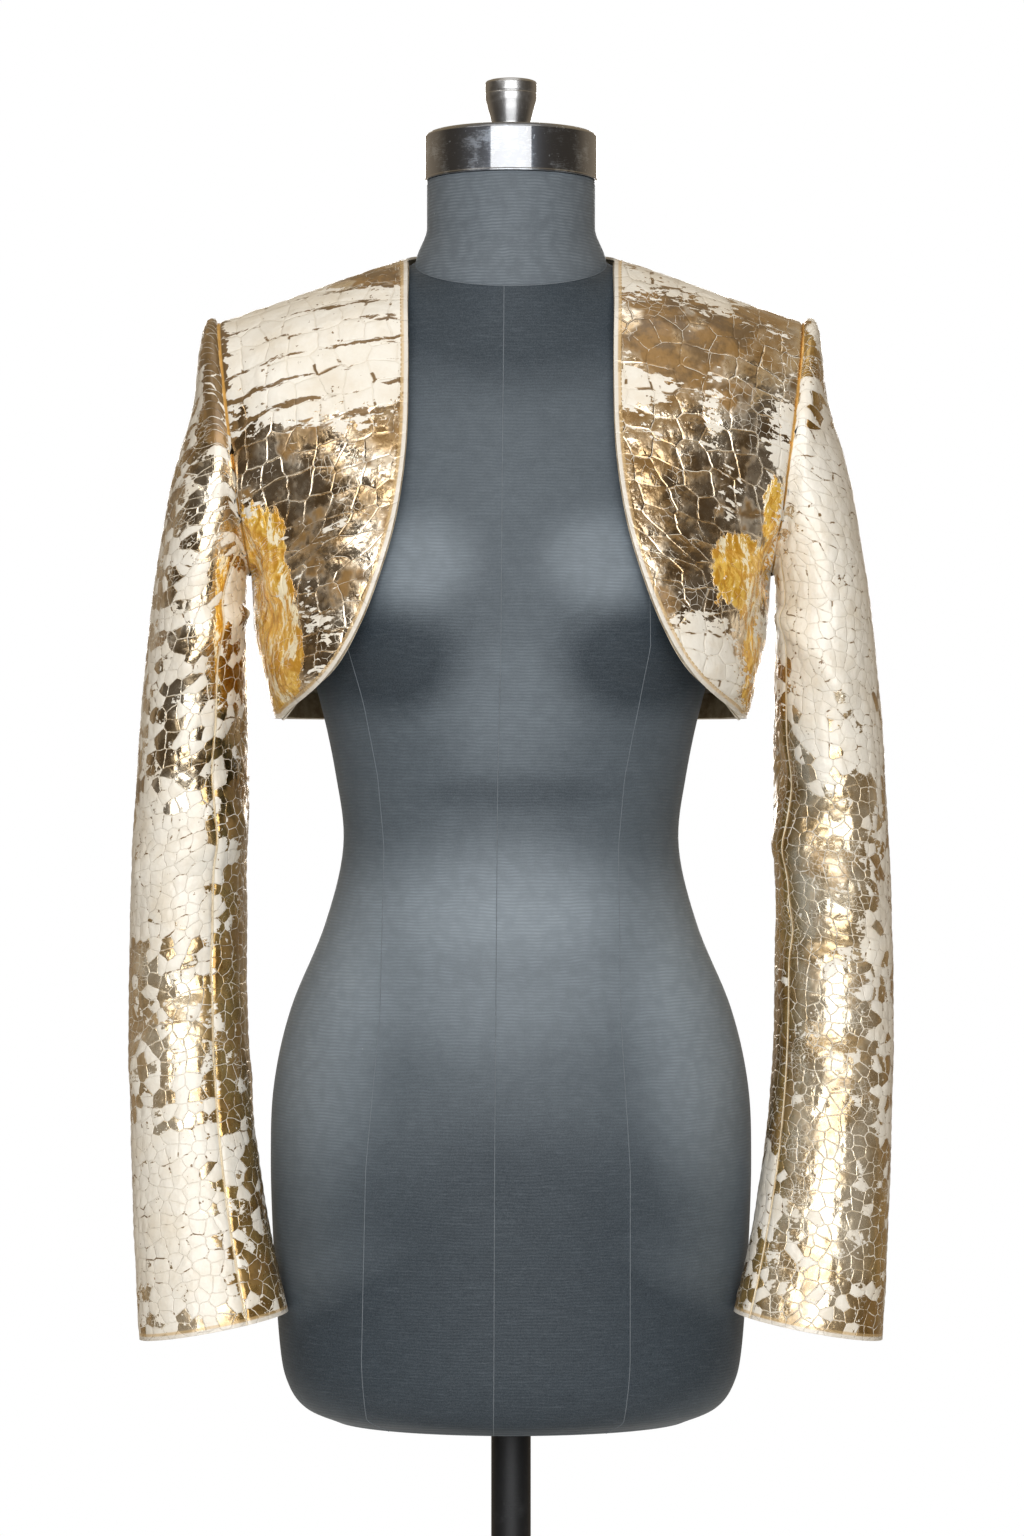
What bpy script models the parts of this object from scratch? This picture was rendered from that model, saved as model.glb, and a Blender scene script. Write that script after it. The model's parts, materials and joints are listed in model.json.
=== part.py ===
"""Leather bolero jacket on a dress form.

A cropped jacket without a collar, its open fronts curving from the neck to the side hem, with long two-piece
sleeves. It is worn by a limbless dress form on a pole and a round base. Metres, +Z up, the origin on the floor
under the pole, the wearer's left at +X and the front towards -Y.
"""

import math
from typing import NamedTuple

import bmesh
import bpy
import numpy as np

LEATHER = 0.0020
FACING = 0.0012
SEAM_GAP = 0.0003
STEP = 1e-3
STEP_ANGLE = 0.4
STEP_DOWN = 0.02

# The armhole is an ellipse in a leaning plane, between the shoulder tip and the underarm point.
SHOULDER_TIP = np.array((0.1950, 0.005, 1.3173))
UNDERARM = np.array((0.1740, 0.005, 1.1500))
ARMHOLE_HALF_DEPTH = 0.058
UNDERARM_ROW = 5.0
HEM_ROW = 8.0

# The back's top row is the neckline up to this share of its width, and the shoulder seam from there.
NECK_SHARE = 0.4
NECK_POINT = np.array((0.0700, 0.005, 1.3600))

FRONT_COLUMNS = (0.0, 0.08, 0.17, 0.26, 0.35, 0.44, 0.53, 0.62, 0.71, 0.79, 0.87, 0.94, 1.0)
BACK_COLUMNS = (0.0, 0.1, 0.2, 0.3, 0.4, 0.5, 0.6, 0.7, 0.8, 0.9, 1.0)
BODICE_ROWS = np.linspace(0.0, HEM_ROW, 25)
FACING_COLUMNS = 3
HEM_FACING_ROWS = 3
ROW_HANDLE = 0.37

# Sleeve seams, as angles round the arm: 0 is the outer side, 90 the front, 180 the inner side.
SLEEVE_RINGS_AT_ARMHOLE = 9.0
FRONT_SEAM_AT_ARMHOLE = 150.0
FRONT_SEAM = {"left": 146.0, "right": 120.0}
BACK_SEAM = -110.0
TOP_SLEEVE_COLUMNS = 12
UNDER_SLEEVE_COLUMNS = 8
SLEEVE_ROWS = 31

FORM_SEGMENTS = 32
FORM_LEVELS = 30
BUST_HALF_SPREAD = 0.080
BUST_HEIGHT = 1.120
BUST_RISE = 0.014
BUST_RADIUS = 0.045
FRONT_FALL = 1.35
BACK_FALL = 1.6

NECK_RADIUS = 0.0560
NECK_TOP = 1.4104
NECK_FLARE = 0.45
NECK_FOOT_DEPTH = 0.945
NECK_LEVELS = (0.0, 0.12, 0.26, 0.42, 0.6, 0.8, 1.0)
CAP_RADIUS = 0.0577
CAP_BOTTOM = 1.4107
CAP_TOP = 1.4420
CAP_EDGE = 0.0022
CAP_CROWN = 0.0030
KNOB_FOOT_RADIUS = 0.0127
KNOB_RADIUS = 0.0173
KNOB_TOP = 1.4780
KNOB_EDGE = 0.0012
KNOB_BAND = 0.0125

POLE_RADIUS = 0.0132
POLE_SOCKET_DEPTH = 0.060
BASE_RADIUS = 0.205
BASE_THICKNESS = 0.014
BASE_HUB_RADIUS = 0.024
BASE_HUB_TOP = 0.060
BASE_EDGE = 0.002
BASE_FILLET = 0.010


class FrontRow(NamedTuple):
    """One row of the front: its point on the front edge, and its direction in plan at either end, in degrees
    from +X towards +Y."""

    edge_x: float
    edge_y: float
    edge_z: float
    turn_edge: float
    turn_side: float


class BackRow(NamedTuple):
    """One row of the back: its point on the centre back, and its direction in plan at the side, in degrees from
    +X towards -Y."""

    centre_y: float
    centre_z: float
    turn_side: float


class SideRow(NamedTuple):
    """One point of the side seam."""

    side_x: float
    side_z: float


class SleeveRing(NamedTuple):
    """One ring of the sleeve: its outer and inner points seen from the front, its middle and half depth."""

    outer_x: float
    outer_z: float
    inner_x: float
    inner_z: float
    middle_y: float
    half_depth: float


class FormRing(NamedTuple):
    """One ring of the torso: its heights at the side, front and back, and its reach to each."""

    side_z: float
    front_z: float
    back_z: float
    half_width: float
    front: float
    back: float


class Fold(NamedTuple):
    """One soft fold: where it starts and ends on its panel, its half width and its height, in metres."""

    across_start: float
    down_start: float
    across_end: float
    down_end: float
    half_width: float
    height: float


FRONT_ROWS = (
    FrontRow(0.0700, 0.0050, 1.3600, 0.0, 0.0),
    FrontRow(0.0677, -0.0540, 1.3220, -8.0, 22.0),
    FrontRow(0.0668, -0.0800, 1.2760, -3.0, 30.0),
    FrontRow(0.0680, -0.0985, 1.2280, 2.0, 42.0),
    FrontRow(0.0741, -0.1100, 1.1830, 6.0, 58.0),
    FrontRow(0.0846, -0.1160, 1.1450, 10.0, 84.0),
    FrontRow(0.0995, -0.1160, 1.1080, 16.0, 88.0),
    FrontRow(0.1209, -0.1060, 1.0760, 35.0, 90.0),
    FrontRow(0.1520, -0.0450, 1.0530, 76.0, 92.0),
)

BACK_ROWS = (
    BackRow(0.0800, 1.3730, 0.0),
    BackRow(0.0930, 1.3380, 24.0),
    BackRow(0.1040, 1.2900, 32.0),
    BackRow(0.1090, 1.2350, 42.0),
    BackRow(0.1090, 1.1850, 58.0),
    BackRow(0.1070, 1.1500, 84.0),
    BackRow(0.1030, 1.1120, 88.0),
    BackRow(0.0990, 1.0800, 90.0),
    BackRow(0.0960, 1.0530, 88.0),
)

SIDE_SEAM = (
    SideRow(0.1740, 1.1500),
    SideRow(0.1705, 1.1080),
    SideRow(0.1630, 1.0780),
    SideRow(0.1573, 1.0530),
)

SLEEVE_RINGS = (
    SleeveRing(0.1950, 1.3173, 0.1740, 1.1500, 0.005, 0.0580),
    SleeveRing(0.1992, 1.3206, 0.1748, 1.1494, 0.005, 0.0588),
    SleeveRing(0.2040, 1.3165, 0.1752, 1.1485, 0.005, 0.0594),
    SleeveRing(0.2073, 1.3020, 0.1754, 1.1470, 0.005, 0.0598),
    SleeveRing(0.2113, 1.2650, 0.1755, 1.1440, 0.005, 0.0600),
    SleeveRing(0.2243, 1.2187, 0.1755, 1.1400, 0.006, 0.0600),
    SleeveRing(0.2323, 1.1787, 0.1755, 1.1330, 0.007, 0.0598),
    SleeveRing(0.2377, 1.1453, 0.1755, 1.1220, 0.008, 0.0592),
    SleeveRing(0.2433, 1.0987, 0.1755, 1.0980, 0.009, 0.0580),
    SleeveRing(0.2477, 1.0520, 0.1752, 1.0540, 0.010, 0.0562),
    SleeveRing(0.2510, 0.9987, 0.1755, 0.9987, 0.010, 0.0545),
    SleeveRing(0.2533, 0.9520, 0.1760, 0.9520, 0.008, 0.0530),
    SleeveRing(0.2543, 0.9053, 0.1760, 0.9053, 0.003, 0.0515),
    SleeveRing(0.2543, 0.8653, 0.1755, 0.8653, -0.003, 0.0500),
    SleeveRing(0.2533, 0.8253, 0.1737, 0.8253, -0.011, 0.0485),
    SleeveRing(0.2513, 0.7787, 0.1690, 0.7787, -0.021, 0.0470),
    SleeveRing(0.2490, 0.7320, 0.1620, 0.7340, -0.031, 0.0455),
    SleeveRing(0.2463, 0.6853, 0.1535, 0.6940, -0.040, 0.0442),
    SleeveRing(0.2435, 0.6460, 0.1460, 0.6640, -0.046, 0.0430),
)

FORM_RINGS = (
    FormRing(1.3556, 1.3346, 1.3780, 0.0635, 0.0605, 0.0600),
    FormRing(1.3502, 1.3060, 1.3340, 0.0820, 0.0665, 0.0650),
    FormRing(1.3436, 1.2840, 1.3060, 0.1050, 0.0735, 0.0780),
    FormRing(1.3350, 1.2620, 1.2900, 0.1300, 0.0810, 0.0880),
    FormRing(1.3282, 1.2380, 1.2680, 0.1500, 0.0870, 0.0935),
    FormRing(1.3180, 1.2140, 1.2440, 0.1680, 0.0930, 0.0980),
    FormRing(1.2850, 1.1850, 1.2250, 0.1740, 0.1000, 0.1015),
    FormRing(1.2300, 1.1550, 1.1850, 0.1680, 0.1060, 0.1020),
    FormRing(1.1750, 1.1250, 1.1450, 0.1580, 0.1070, 0.0990),
    FormRing(1.1200, 1.0900, 1.1000, 0.1450, 0.1030, 0.0930),
    FormRing(1.0700, 1.0560, 1.0600, 0.1285, 0.0950, 0.0860),
    FormRing(1.0160, 1.0130, 1.0130, 0.1167, 0.0865, 0.0800),
    FormRing(0.9680, 0.9680, 0.9680, 0.1117, 0.0820, 0.0790),
    FormRing(0.9150, 0.9150, 0.9150, 0.1242, 0.0860, 0.0860),
    FormRing(0.8600, 0.8600, 0.8600, 0.1467, 0.0940, 0.0975),
    FormRing(0.8100, 0.8100, 0.8100, 0.1580, 0.1000, 0.1060),
    FormRing(0.7600, 0.7600, 0.7600, 0.1603, 0.1025, 0.1100),
    FormRing(0.6980, 0.6980, 0.6980, 0.1583, 0.1020, 0.1090),
    FormRing(0.6350, 0.6350, 0.6350, 0.1540, 0.0995, 0.1050),
    FormRing(0.6100, 0.6100, 0.6100, 0.1485, 0.0955, 0.1010),
    FormRing(0.5950, 0.5950, 0.5950, 0.1375, 0.0870, 0.0920),
    FormRing(0.5860, 0.5860, 0.5860, 0.1170, 0.0720, 0.0760),
)

# The folds, by panel. Across is the share of a front's or back's width, or an angle round a sleeve, and down
# counts the rows or rings of its table.
FOLDS = {
    "front_left": (
        Fold(1.00, 3.2, 0.50, 5.3, 0.014, 0.0060),
        Fold(0.92, 5.0, 0.45, 6.3, 0.014, -0.0035),
        Fold(0.55, 1.2, 0.75, 3.2, 0.016, 0.0020),
    ),
    "front_right": (
        Fold(0.98, 3.1, 0.55, 5.2, 0.014, 0.0060),
        Fold(0.92, 4.8, 0.40, 6.1, 0.014, -0.0035),
        Fold(0.60, 1.0, 0.80, 3.0, 0.016, 0.0020),
    ),
    "back": (
        Fold(0.95, 3.6, 0.45, 4.8, 0.015, 0.0045),
        Fold(-0.95, 3.4, -0.50, 4.9, 0.015, 0.0050),
        Fold(0.55, 5.8, -0.20, 6.4, 0.017, -0.0030),
    ),
    "sleeve_left": (
        Fold(150.0, 7.2, 80.0, 8.6, 0.014, 0.0045),
        Fold(165.0, 9.6, 95.0, 10.3, 0.014, -0.0035),
        Fold(160.0, 10.6, 60.0, 11.2, 0.014, 0.0045),
        Fold(150.0, 11.8, 70.0, 12.1, 0.014, -0.0030),
        Fold(120.0, 13.8, 40.0, 14.2, 0.014, 0.0035),
        Fold(-150.0, 8.0, -60.0, 8.9, 0.016, 0.0040),
        Fold(-160.0, 11.4, -40.0, 11.0, 0.016, -0.0035),
        Fold(-140.0, 14.6, -50.0, 15.3, 0.016, 0.0035),
    ),
    "sleeve_right": (
        Fold(155.0, 7.0, 90.0, 8.2, 0.014, 0.0045),
        Fold(160.0, 9.2, 85.0, 10.0, 0.014, -0.0035),
        Fold(150.0, 10.4, 40.0, 11.0, 0.014, 0.0042),
        Fold(110.0, 12.4, 35.0, 13.2, 0.014, -0.0030),
        Fold(75.0, 13.5, 30.0, 14.1, 0.014, 0.0030),
        Fold(-150.0, 8.4, -70.0, 9.0, 0.016, 0.0038),
        Fold(-160.0, 11.0, -50.0, 11.6, 0.016, -0.0035),
        Fold(-150.0, 14.2, -60.0, 14.9, 0.016, 0.0035),
    ),
}
# The size in metres of one step across and one step down, for each kind of panel.
FRONT_SCALE = (0.110, 0.040)
BACK_SCALE = (0.180, 0.040)
SLEEVE_SCALE = (0.00096, 0.045)
FOLDS_CLEAR_OF_SIDE = 0.07
FOLDS_CLEAR_OF_SHOULDER = 0.5
FOLDS_CLEAR_OF_CAP = (1.0, 3.0)


def through(rows, position, before=None):
    """A smooth curve through a table's rows, read at a position that counts them. The row before the first is
    its mirror image unless one is given."""
    rows = np.asarray(rows, float)
    first = 2 * rows[0] - rows[1] if before is None else before
    last = 2 * rows[-1] - rows[-2]
    padded = np.concatenate([first[None], rows, last[None]])
    index = min(int(position), len(rows) - 2)
    share = position - index
    a, b, c, d = padded[index : index + 4]
    return 0.5 * (
        2 * b
        + (c - a) * share
        + (2 * a - 5 * b + 4 * c - d) * share**2
        + (3 * b - a - 3 * c + d) * share**3
    )


def fade(value):
    """0 below 0 and 1 above 1, with a smooth step between."""
    value = np.clip(value, 0.0, 1.0)
    return value * value * (3 - 2 * value)


def heading(degrees, length, towards_back):
    """A step in plan from +X towards +Y, or towards -Y."""
    angle = math.radians(degrees)
    turn = 1 if towards_back else -1
    return np.array((math.cos(angle) * length, turn * math.sin(angle) * length, 0.0))


def row_curve(start, end, turn_start, turn_end, towards_back, across):
    """The points of one row: a cubic curve that leaves and arrives at the given directions in plan."""
    length = ROW_HANDLE * np.linalg.norm((end - start)[:2])
    rise = np.array((0.0, 0.0, (end[2] - start[2]) / 3))
    near = start + heading(turn_start, length, towards_back) + rise
    far = end - heading(turn_end, length, towards_back) - rise
    share = np.asarray(across)[:, None]
    rest = 1 - share
    return (
        rest**3 * start
        + 3 * rest**2 * share * near
        + 3 * rest * share**2 * far
        + share**3 * end
    )


def armhole_point(angle, half_depth=ARMHOLE_HALF_DEPTH):
    """A point of the armhole: 0 degrees at the shoulder tip, 90 at the front, 180 at the underarm."""
    turn = math.radians(angle)
    middle = (SHOULDER_TIP + UNDERARM) / 2
    point = middle + (SHOULDER_TIP - UNDERARM) / 2 * math.cos(turn)
    return point - np.array((0.0, half_depth * math.sin(turn), 0.0))


def side_point(down, front):
    """Where a row meets the armhole, or the side seam below it."""
    if down <= UNDERARM_ROW:
        angle = 180.0 * down / UNDERARM_ROW
        return armhole_point(angle if front else -angle)
    side_x, side_z = through(SIDE_SEAM, down - UNDERARM_ROW)
    return np.array((side_x, UNDERARM[1], side_z))


def front_rows(across):
    """Every table row of the front, at the given shares of its width."""
    return np.array(
        [
            row_curve(
                np.array(row[:3]),
                side_point(float(index), front=True),
                row.turn_edge,
                row.turn_side,
                True,
                across,
            )
            for index, row in enumerate(FRONT_ROWS)
        ]
    )


def neckline_and_shoulder(across):
    """The back's top row: round the neck, then along the shoulder seam."""
    centre = np.array((0.0, BACK_ROWS[0].centre_y, BACK_ROWS[0].centre_z))
    reach = NECK_POINT - centre
    points = []
    for share in across:
        if share <= NECK_SHARE:
            turn = 0.5 * math.pi * share / NECK_SHARE
            round_neck = (math.sin(turn), 1 - math.cos(turn), 1 - math.cos(turn))
            points.append(centre + reach * round_neck)
        else:
            along = (share - NECK_SHARE) / (1 - NECK_SHARE)
            points.append(NECK_POINT + (SHOULDER_TIP - NECK_POINT) * along)
    return np.array(points)


def back_rows(across):
    """Every table row of the back's left half, at the given shares of its width."""
    rows = [neckline_and_shoulder(across)]
    for index, row in enumerate(BACK_ROWS[1:], start=1):
        centre = np.array((0.0, row.centre_y, row.centre_z))
        side = side_point(float(index), front=False)
        rows.append(row_curve(centre, side, 0.0, row.turn_side, False, across))
    return np.array(rows)


def panel_points(rows, before, across, down, front):
    """The smooth surface of a front or half a back, before its folds."""
    surface = []
    side_rows = [side_point(float(index), front) for index in range(len(rows))]
    seam_before = side_point(1.0, not front)
    for position in down:
        line = through(rows, position, before)
        miss = side_point(position, front) - through(side_rows, position, seam_before)
        surface.append(line + miss * (np.asarray(across)[:, None] ** 3))
    return np.array(surface)


def front_surface(across, down):
    """The front without its folds. The back's first row carries its slope over the shoulder."""
    behind = back_rows([NECK_SHARE + (1 - NECK_SHARE) * share for share in across])[1]
    return panel_points(front_rows(across), behind, across, down, front=True)


def back_surface(across, down):
    """Half the back without its folds, smooth over the shoulder and free at the neckline."""
    rows = back_rows(across)
    shares = np.clip((np.asarray(across) - NECK_SHARE) / (1 - NECK_SHARE), 0.0, 1.0)
    ahead = front_rows(shares)[1]
    on_neckline = rows[0] + (rows[0] - rows[1])
    at_shoulder = ahead + rows[0] - neckline_and_shoulder(np.maximum(across, NECK_SHARE))
    mix = fade(np.asarray(across) / NECK_SHARE)[:, None]
    before = on_neckline * (1 - mix) + at_shoulder * mix
    return panel_points(rows, before, across, down, front=False)


def fold_height(folds, scale, across, down):
    """How far the folds lift the panel, on a grid of rows by columns."""
    across, down = np.meshgrid(np.asarray(across) * scale[0], np.asarray(down) * scale[1])
    lift = np.zeros_like(across)
    for fold in folds:
        start = np.array((fold.across_start * scale[0], fold.down_start * scale[1]))
        end = np.array((fold.across_end * scale[0], fold.down_end * scale[1]))
        along = end - start
        share = ((across - start[0]) * along[0] + (down - start[1]) * along[1]) / (along @ along)
        share = np.clip(share, 0.0, 1.0)
        away = np.hypot(across - start[0] - along[0] * share, down - start[1] - along[1] * share)
        lift += fold.height * np.exp(-((away / fold.half_width) ** 2))
    return lift


def normals_of(surface, across, down, outward):
    """Unit normals by small steps along a surface, kept within its own grid."""
    across, down = np.asarray(across, float), np.asarray(down, float)
    low, high = across.min(), across.max()
    step = STEP * (high - low)
    along = surface(np.minimum(across + step, high), down) - surface(np.maximum(across - step, low), down)
    top, bottom = down.min(), down.max()
    step = STEP * (bottom - top)
    below = surface(across, np.minimum(down + step, bottom)) - surface(across, np.maximum(down - step, top))
    normal = np.cross(along, below) * outward
    return normal / np.linalg.norm(normal, axis=-1, keepdims=True)


def folded_panel(surface, folds, scale, across, down, outward):
    """A panel's outer points and normals, with its folds let in away from its shared seams."""

    def folded(columns, rows):
        plain = surface(columns, rows)
        lift = fold_height(folds, scale, columns, rows)
        lift = lift * fade((1 - np.abs(columns)) / FOLDS_CLEAR_OF_SIDE)[None, :]
        lift = lift * fade(np.asarray(rows) / FOLDS_CLEAR_OF_SHOULDER)[:, None]
        return plain + lift[..., None] * normals_of(surface, columns, rows, outward)

    return folded(across, down), normals_of(folded, across, down, outward)


def sleeve_point_grid(angles, down):
    """The sleeve's surface for a grid of angles, one row of them for each position down its rings."""
    points = []
    for row, position in zip(angles, down):
        ring = SleeveRing(*through(SLEEVE_RINGS, position))
        outer = np.array((ring.outer_x, ring.middle_y, ring.outer_z))
        inner = np.array((ring.inner_x, ring.middle_y, ring.inner_z))
        turn = np.radians(row)[:, None]
        depth = np.array((0.0, ring.half_depth, 0.0))
        points.append((outer + inner) / 2 + (outer - inner) / 2 * np.cos(turn) - depth * np.sin(turn))
    return np.array(points)


def sleeve_lift(folds, angles, down):
    """The fold height at each angle of each ring, the same whichever piece asks."""
    lift = np.zeros_like(angles)
    for index, (row, position) in enumerate(zip(angles, down)):
        for whole_turn in (-360.0, 0.0, 360.0):
            lift[index] += fold_height(folds, SLEEVE_SCALE, row + whole_turn, [position])[0]
    first, length = FOLDS_CLEAR_OF_CAP
    return lift * fade((np.asarray(down) - first) / length)[:, None]


def sleeve_surface(folds, angles, down):
    """Outer points and normals of a sleeve at a grid of angles."""

    def plain_normals(grid, positions):
        positions = np.asarray(positions)
        along = sleeve_point_grid(grid - STEP_ANGLE, positions) - sleeve_point_grid(
            grid + STEP_ANGLE, positions
        )
        above = np.maximum(positions - STEP_DOWN, 0.0)
        under = np.minimum(positions + STEP_DOWN, len(SLEEVE_RINGS) - 1.0)
        below = sleeve_point_grid(grid, under) - sleeve_point_grid(grid, above)
        normal = np.cross(below, along)
        return normal / np.linalg.norm(normal, axis=-1, keepdims=True)

    def folded(grid, positions):
        lift = sleeve_lift(folds, grid, positions)[..., None]
        return sleeve_point_grid(grid, positions) + lift * plain_normals(grid, positions)

    down = np.asarray(down)
    along = folded(angles - STEP_ANGLE, down) - folded(angles + STEP_ANGLE, down)
    above = np.maximum(down - STEP_DOWN, 0.0)
    under = np.minimum(down + STEP_DOWN, len(SLEEVE_RINGS) - 1.0)
    normal = np.cross(folded(angles, under) - folded(angles, above), along)
    return folded(angles, down), normal / np.linalg.norm(normal, axis=-1, keepdims=True)


def mirrored(points):
    """The same points on the wearer's other side."""
    return points * np.array((-1.0, 1.0, 1.0))


def parted(outer, inner, edge):
    """Draws one edge of a wall back from its seam by half the seam gap."""
    for grid in (outer, inner):
        rows = grid if edge in ("top", "bottom") else grid.transpose(1, 0, 2)
        first, second = (0, 1) if edge in ("top", "left") else (-1, -2)
        inward = rows[second] - rows[first]
        inward = inward / np.linalg.norm(inward, axis=-1, keepdims=True)
        rows[first] = rows[first] + inward * (SEAM_GAP / 2)


def add_grid(bm, points):
    """A grid of faces through rows of points."""
    rows, columns = points.shape[:2]
    made = bmesh.ops.create_grid(bm, x_segments=columns - 1, y_segments=rows - 1, size=1.0)
    for vert, place in zip(made["verts"], points.reshape(-1, 3)):
        vert.co = place
    return made["verts"]


def principled(name, colour, roughness, metallic=0.0):
    """A plain material for one piece."""
    material = bpy.data.materials.new(name)
    material.use_nodes = True
    shader = material.node_tree.nodes["Principled BSDF"]
    shader.inputs["Base Color"].default_value = (*colour, 1.0)
    shader.inputs["Roughness"].default_value = roughness
    shader.inputs["Metallic"].default_value = metallic
    return material


def finish_object(name, bm, material, collection):
    """Turns a closed bmesh into a named object, its faces facing out."""
    bmesh.ops.recalc_face_normals(bm, faces=bm.faces)
    mesh = bpy.data.meshes.new(name)
    bm.to_mesh(mesh)
    bm.free()
    mesh.shade_smooth()
    mesh.materials.append(material)
    piece = bpy.data.objects.new(name, mesh)
    collection.objects.link(piece)
    return piece


def add_wall(name, outer, inner, material, collection):
    """A cloth wall: its outer and inner faces, with a rim bridged between them."""
    bm = bmesh.new()
    add_grid(bm, outer)
    add_grid(bm, inner)
    bmesh.ops.triangulate(bm, faces=bm.faces, quad_method="FIXED")
    rim = [edge for edge in bm.edges if edge.is_boundary]
    bmesh.ops.bridge_loops(bm, edges=rim)
    bmesh.ops.triangulate(bm, faces=bm.faces)
    return finish_object(name, bm, material, collection)


def add_loft(name, rings, material, collection):
    """A closed body through rings of points, with its two ends filled."""
    bm = bmesh.new()
    closed = np.concatenate([rings, rings[:, :1]], axis=1)
    add_grid(bm, closed)
    bmesh.ops.remove_doubles(bm, verts=bm.verts, dist=1e-6)
    ends = bmesh.ops.holes_fill(bm, edges=[edge for edge in bm.edges if edge.is_boundary])
    bmesh.ops.poke(bm, faces=ends["faces"], center_mode="MEAN")
    return finish_object(name, bm, material, collection)


def add_turned(name, profile, segments, material, collection):
    """A turned piece from a profile of radius and height, listed from the top down."""
    mesh = bpy.data.meshes.new(name)
    edges = [(index, index + 1) for index in range(len(profile) - 1)]
    mesh.from_pydata([(radius, 0.0, height) for radius, height in profile], edges, [])
    mesh.materials.append(material)
    piece = bpy.data.objects.new(name, mesh)
    collection.objects.link(piece)
    screw = piece.modifiers.new("Turn", "SCREW")
    screw.steps = segments
    screw.render_steps = segments
    screw.use_merge_vertices = True
    screw.merge_threshold = 1e-6
    return piece


def front_grid(side):
    """The outer points and normals of a front, as for the wearer's left side."""
    return folded_panel(
        front_surface, FOLDS[f"front_{side}"], FRONT_SCALE, np.array(FRONT_COLUMNS), BODICE_ROWS, -1.0
    )


def back_grid():
    """The whole back's outer points and normals, from the right side seam to the left."""
    across = np.array(BACK_COLUMNS)
    left_folds = FOLDS["back"]
    right_folds = [
        fold._replace(across_start=-fold.across_start, across_end=-fold.across_end)
        for fold in FOLDS["back"]
    ]
    left, left_normal = folded_panel(back_surface, left_folds, BACK_SCALE, across, BODICE_ROWS, 1.0)
    right, right_normal = folded_panel(back_surface, right_folds, BACK_SCALE, across, BODICE_ROWS, 1.0)
    centre = left_normal[:, :1] + mirrored(right_normal[:, :1])
    centre = centre / np.linalg.norm(centre, axis=-1, keepdims=True)
    points = np.concatenate([mirrored(right[:, :0:-1]), left], axis=1)
    normals = np.concatenate([mirrored(right_normal[:, :0:-1]), centre, left_normal[:, 1:]], axis=1)
    return points, normals


def share_side_normals(front_normals, back_normals):
    """Gives a front and half the back one set of normals along their side seam, so that the walls meet."""
    seam = BODICE_ROWS >= UNDERARM_ROW
    shared = front_normals[seam, -1] + back_normals[seam, -1]
    shared = shared / np.linalg.norm(shared, axis=-1, keepdims=True)
    front_normals[seam, -1] = shared
    back_normals[seam, -1] = shared


def build_front(side, outer, normal, material, facing_material, collection):
    """One front, and the facing along its front edge."""
    inner = outer - normal * LEATHER
    facing_outer = (outer - normal * (LEATHER + SEAM_GAP))[:, :FACING_COLUMNS].copy()
    facing_inner = facing_outer - normal[:, :FACING_COLUMNS] * FACING
    outer = outer.copy()
    for edge in ("top", "right"):
        parted(outer, inner, edge)
    parted(facing_outer, facing_inner, "top")
    turn = (lambda points: points) if side == "left" else mirrored
    add_wall(f"front_{side}", turn(outer), turn(inner), material, collection)
    add_wall(
        f"front_facing_{side}", turn(facing_outer), turn(facing_inner), facing_material, collection
    )


def build_back(outer, normal, material, facing_material, collection):
    """The back panel, and the facing inside its hem."""
    inner = outer - normal * LEATHER
    hem = slice(-HEM_FACING_ROWS, None)
    facing_outer = (outer - normal * (LEATHER + SEAM_GAP))[hem].copy()
    facing_inner = facing_outer - normal[hem] * FACING
    outer = outer.copy()
    for edge in ("left", "right"):
        parted(outer, inner, edge)
        parted(facing_outer, facing_inner, edge)
    neck_columns = len([share for share in BACK_COLUMNS if share < NECK_SHARE])
    middle = len(BACK_COLUMNS) - 1
    on_seam = np.ones(outer.shape[1], bool)
    on_seam[middle - neck_columns + 1 : middle + neck_columns] = False
    for grid in (outer, inner):
        inward = grid[1] - grid[0]
        inward = inward / np.linalg.norm(inward, axis=-1, keepdims=True)
        grid[0][on_seam] += (inward * (SEAM_GAP / 2))[on_seam]
    add_wall("back", outer, inner, material, collection)
    add_wall("hem_facing", facing_outer, facing_inner, facing_material, collection)


def build_bodice(material, facing_material, collection):
    """The fronts and the back, whose walls meet along the side seams."""
    back_points, back_normals = back_grid()
    middle = len(BACK_COLUMNS) - 1
    for side in ("left", "right"):
        points, normals = front_grid(side)
        if side == "left":
            half = back_normals[:, middle:].copy()
            share_side_normals(normals, half)
            back_normals[:, middle + 1 :] = half[:, 1:]
        else:
            half = mirrored(back_normals[:, middle::-1])
            share_side_normals(normals, half)
            back_normals[:, :middle] = mirrored(half[:, :0:-1])
        build_front(side, points, normals, material, facing_material, collection)
    build_back(back_points, back_normals, material, facing_material, collection)


def front_seam_angle(side, position):
    """The angle of a sleeve's front seam, which swings round from the armhole."""
    share = fade(position / SLEEVE_RINGS_AT_ARMHOLE)
    return FRONT_SEAM_AT_ARMHOLE + (FRONT_SEAM[side] - FRONT_SEAM_AT_ARMHOLE) * share


def sleeve_angles(side, down, under, columns):
    """The angles of a sleeve piece's columns, one row for each position."""
    rows = []
    for position in down:
        front = front_seam_angle(side, position)
        start, end = (front, BACK_SEAM + 360.0) if under else (BACK_SEAM, front)
        rows.append(np.linspace(start, end, columns + 1))
    return np.array(rows)


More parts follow.
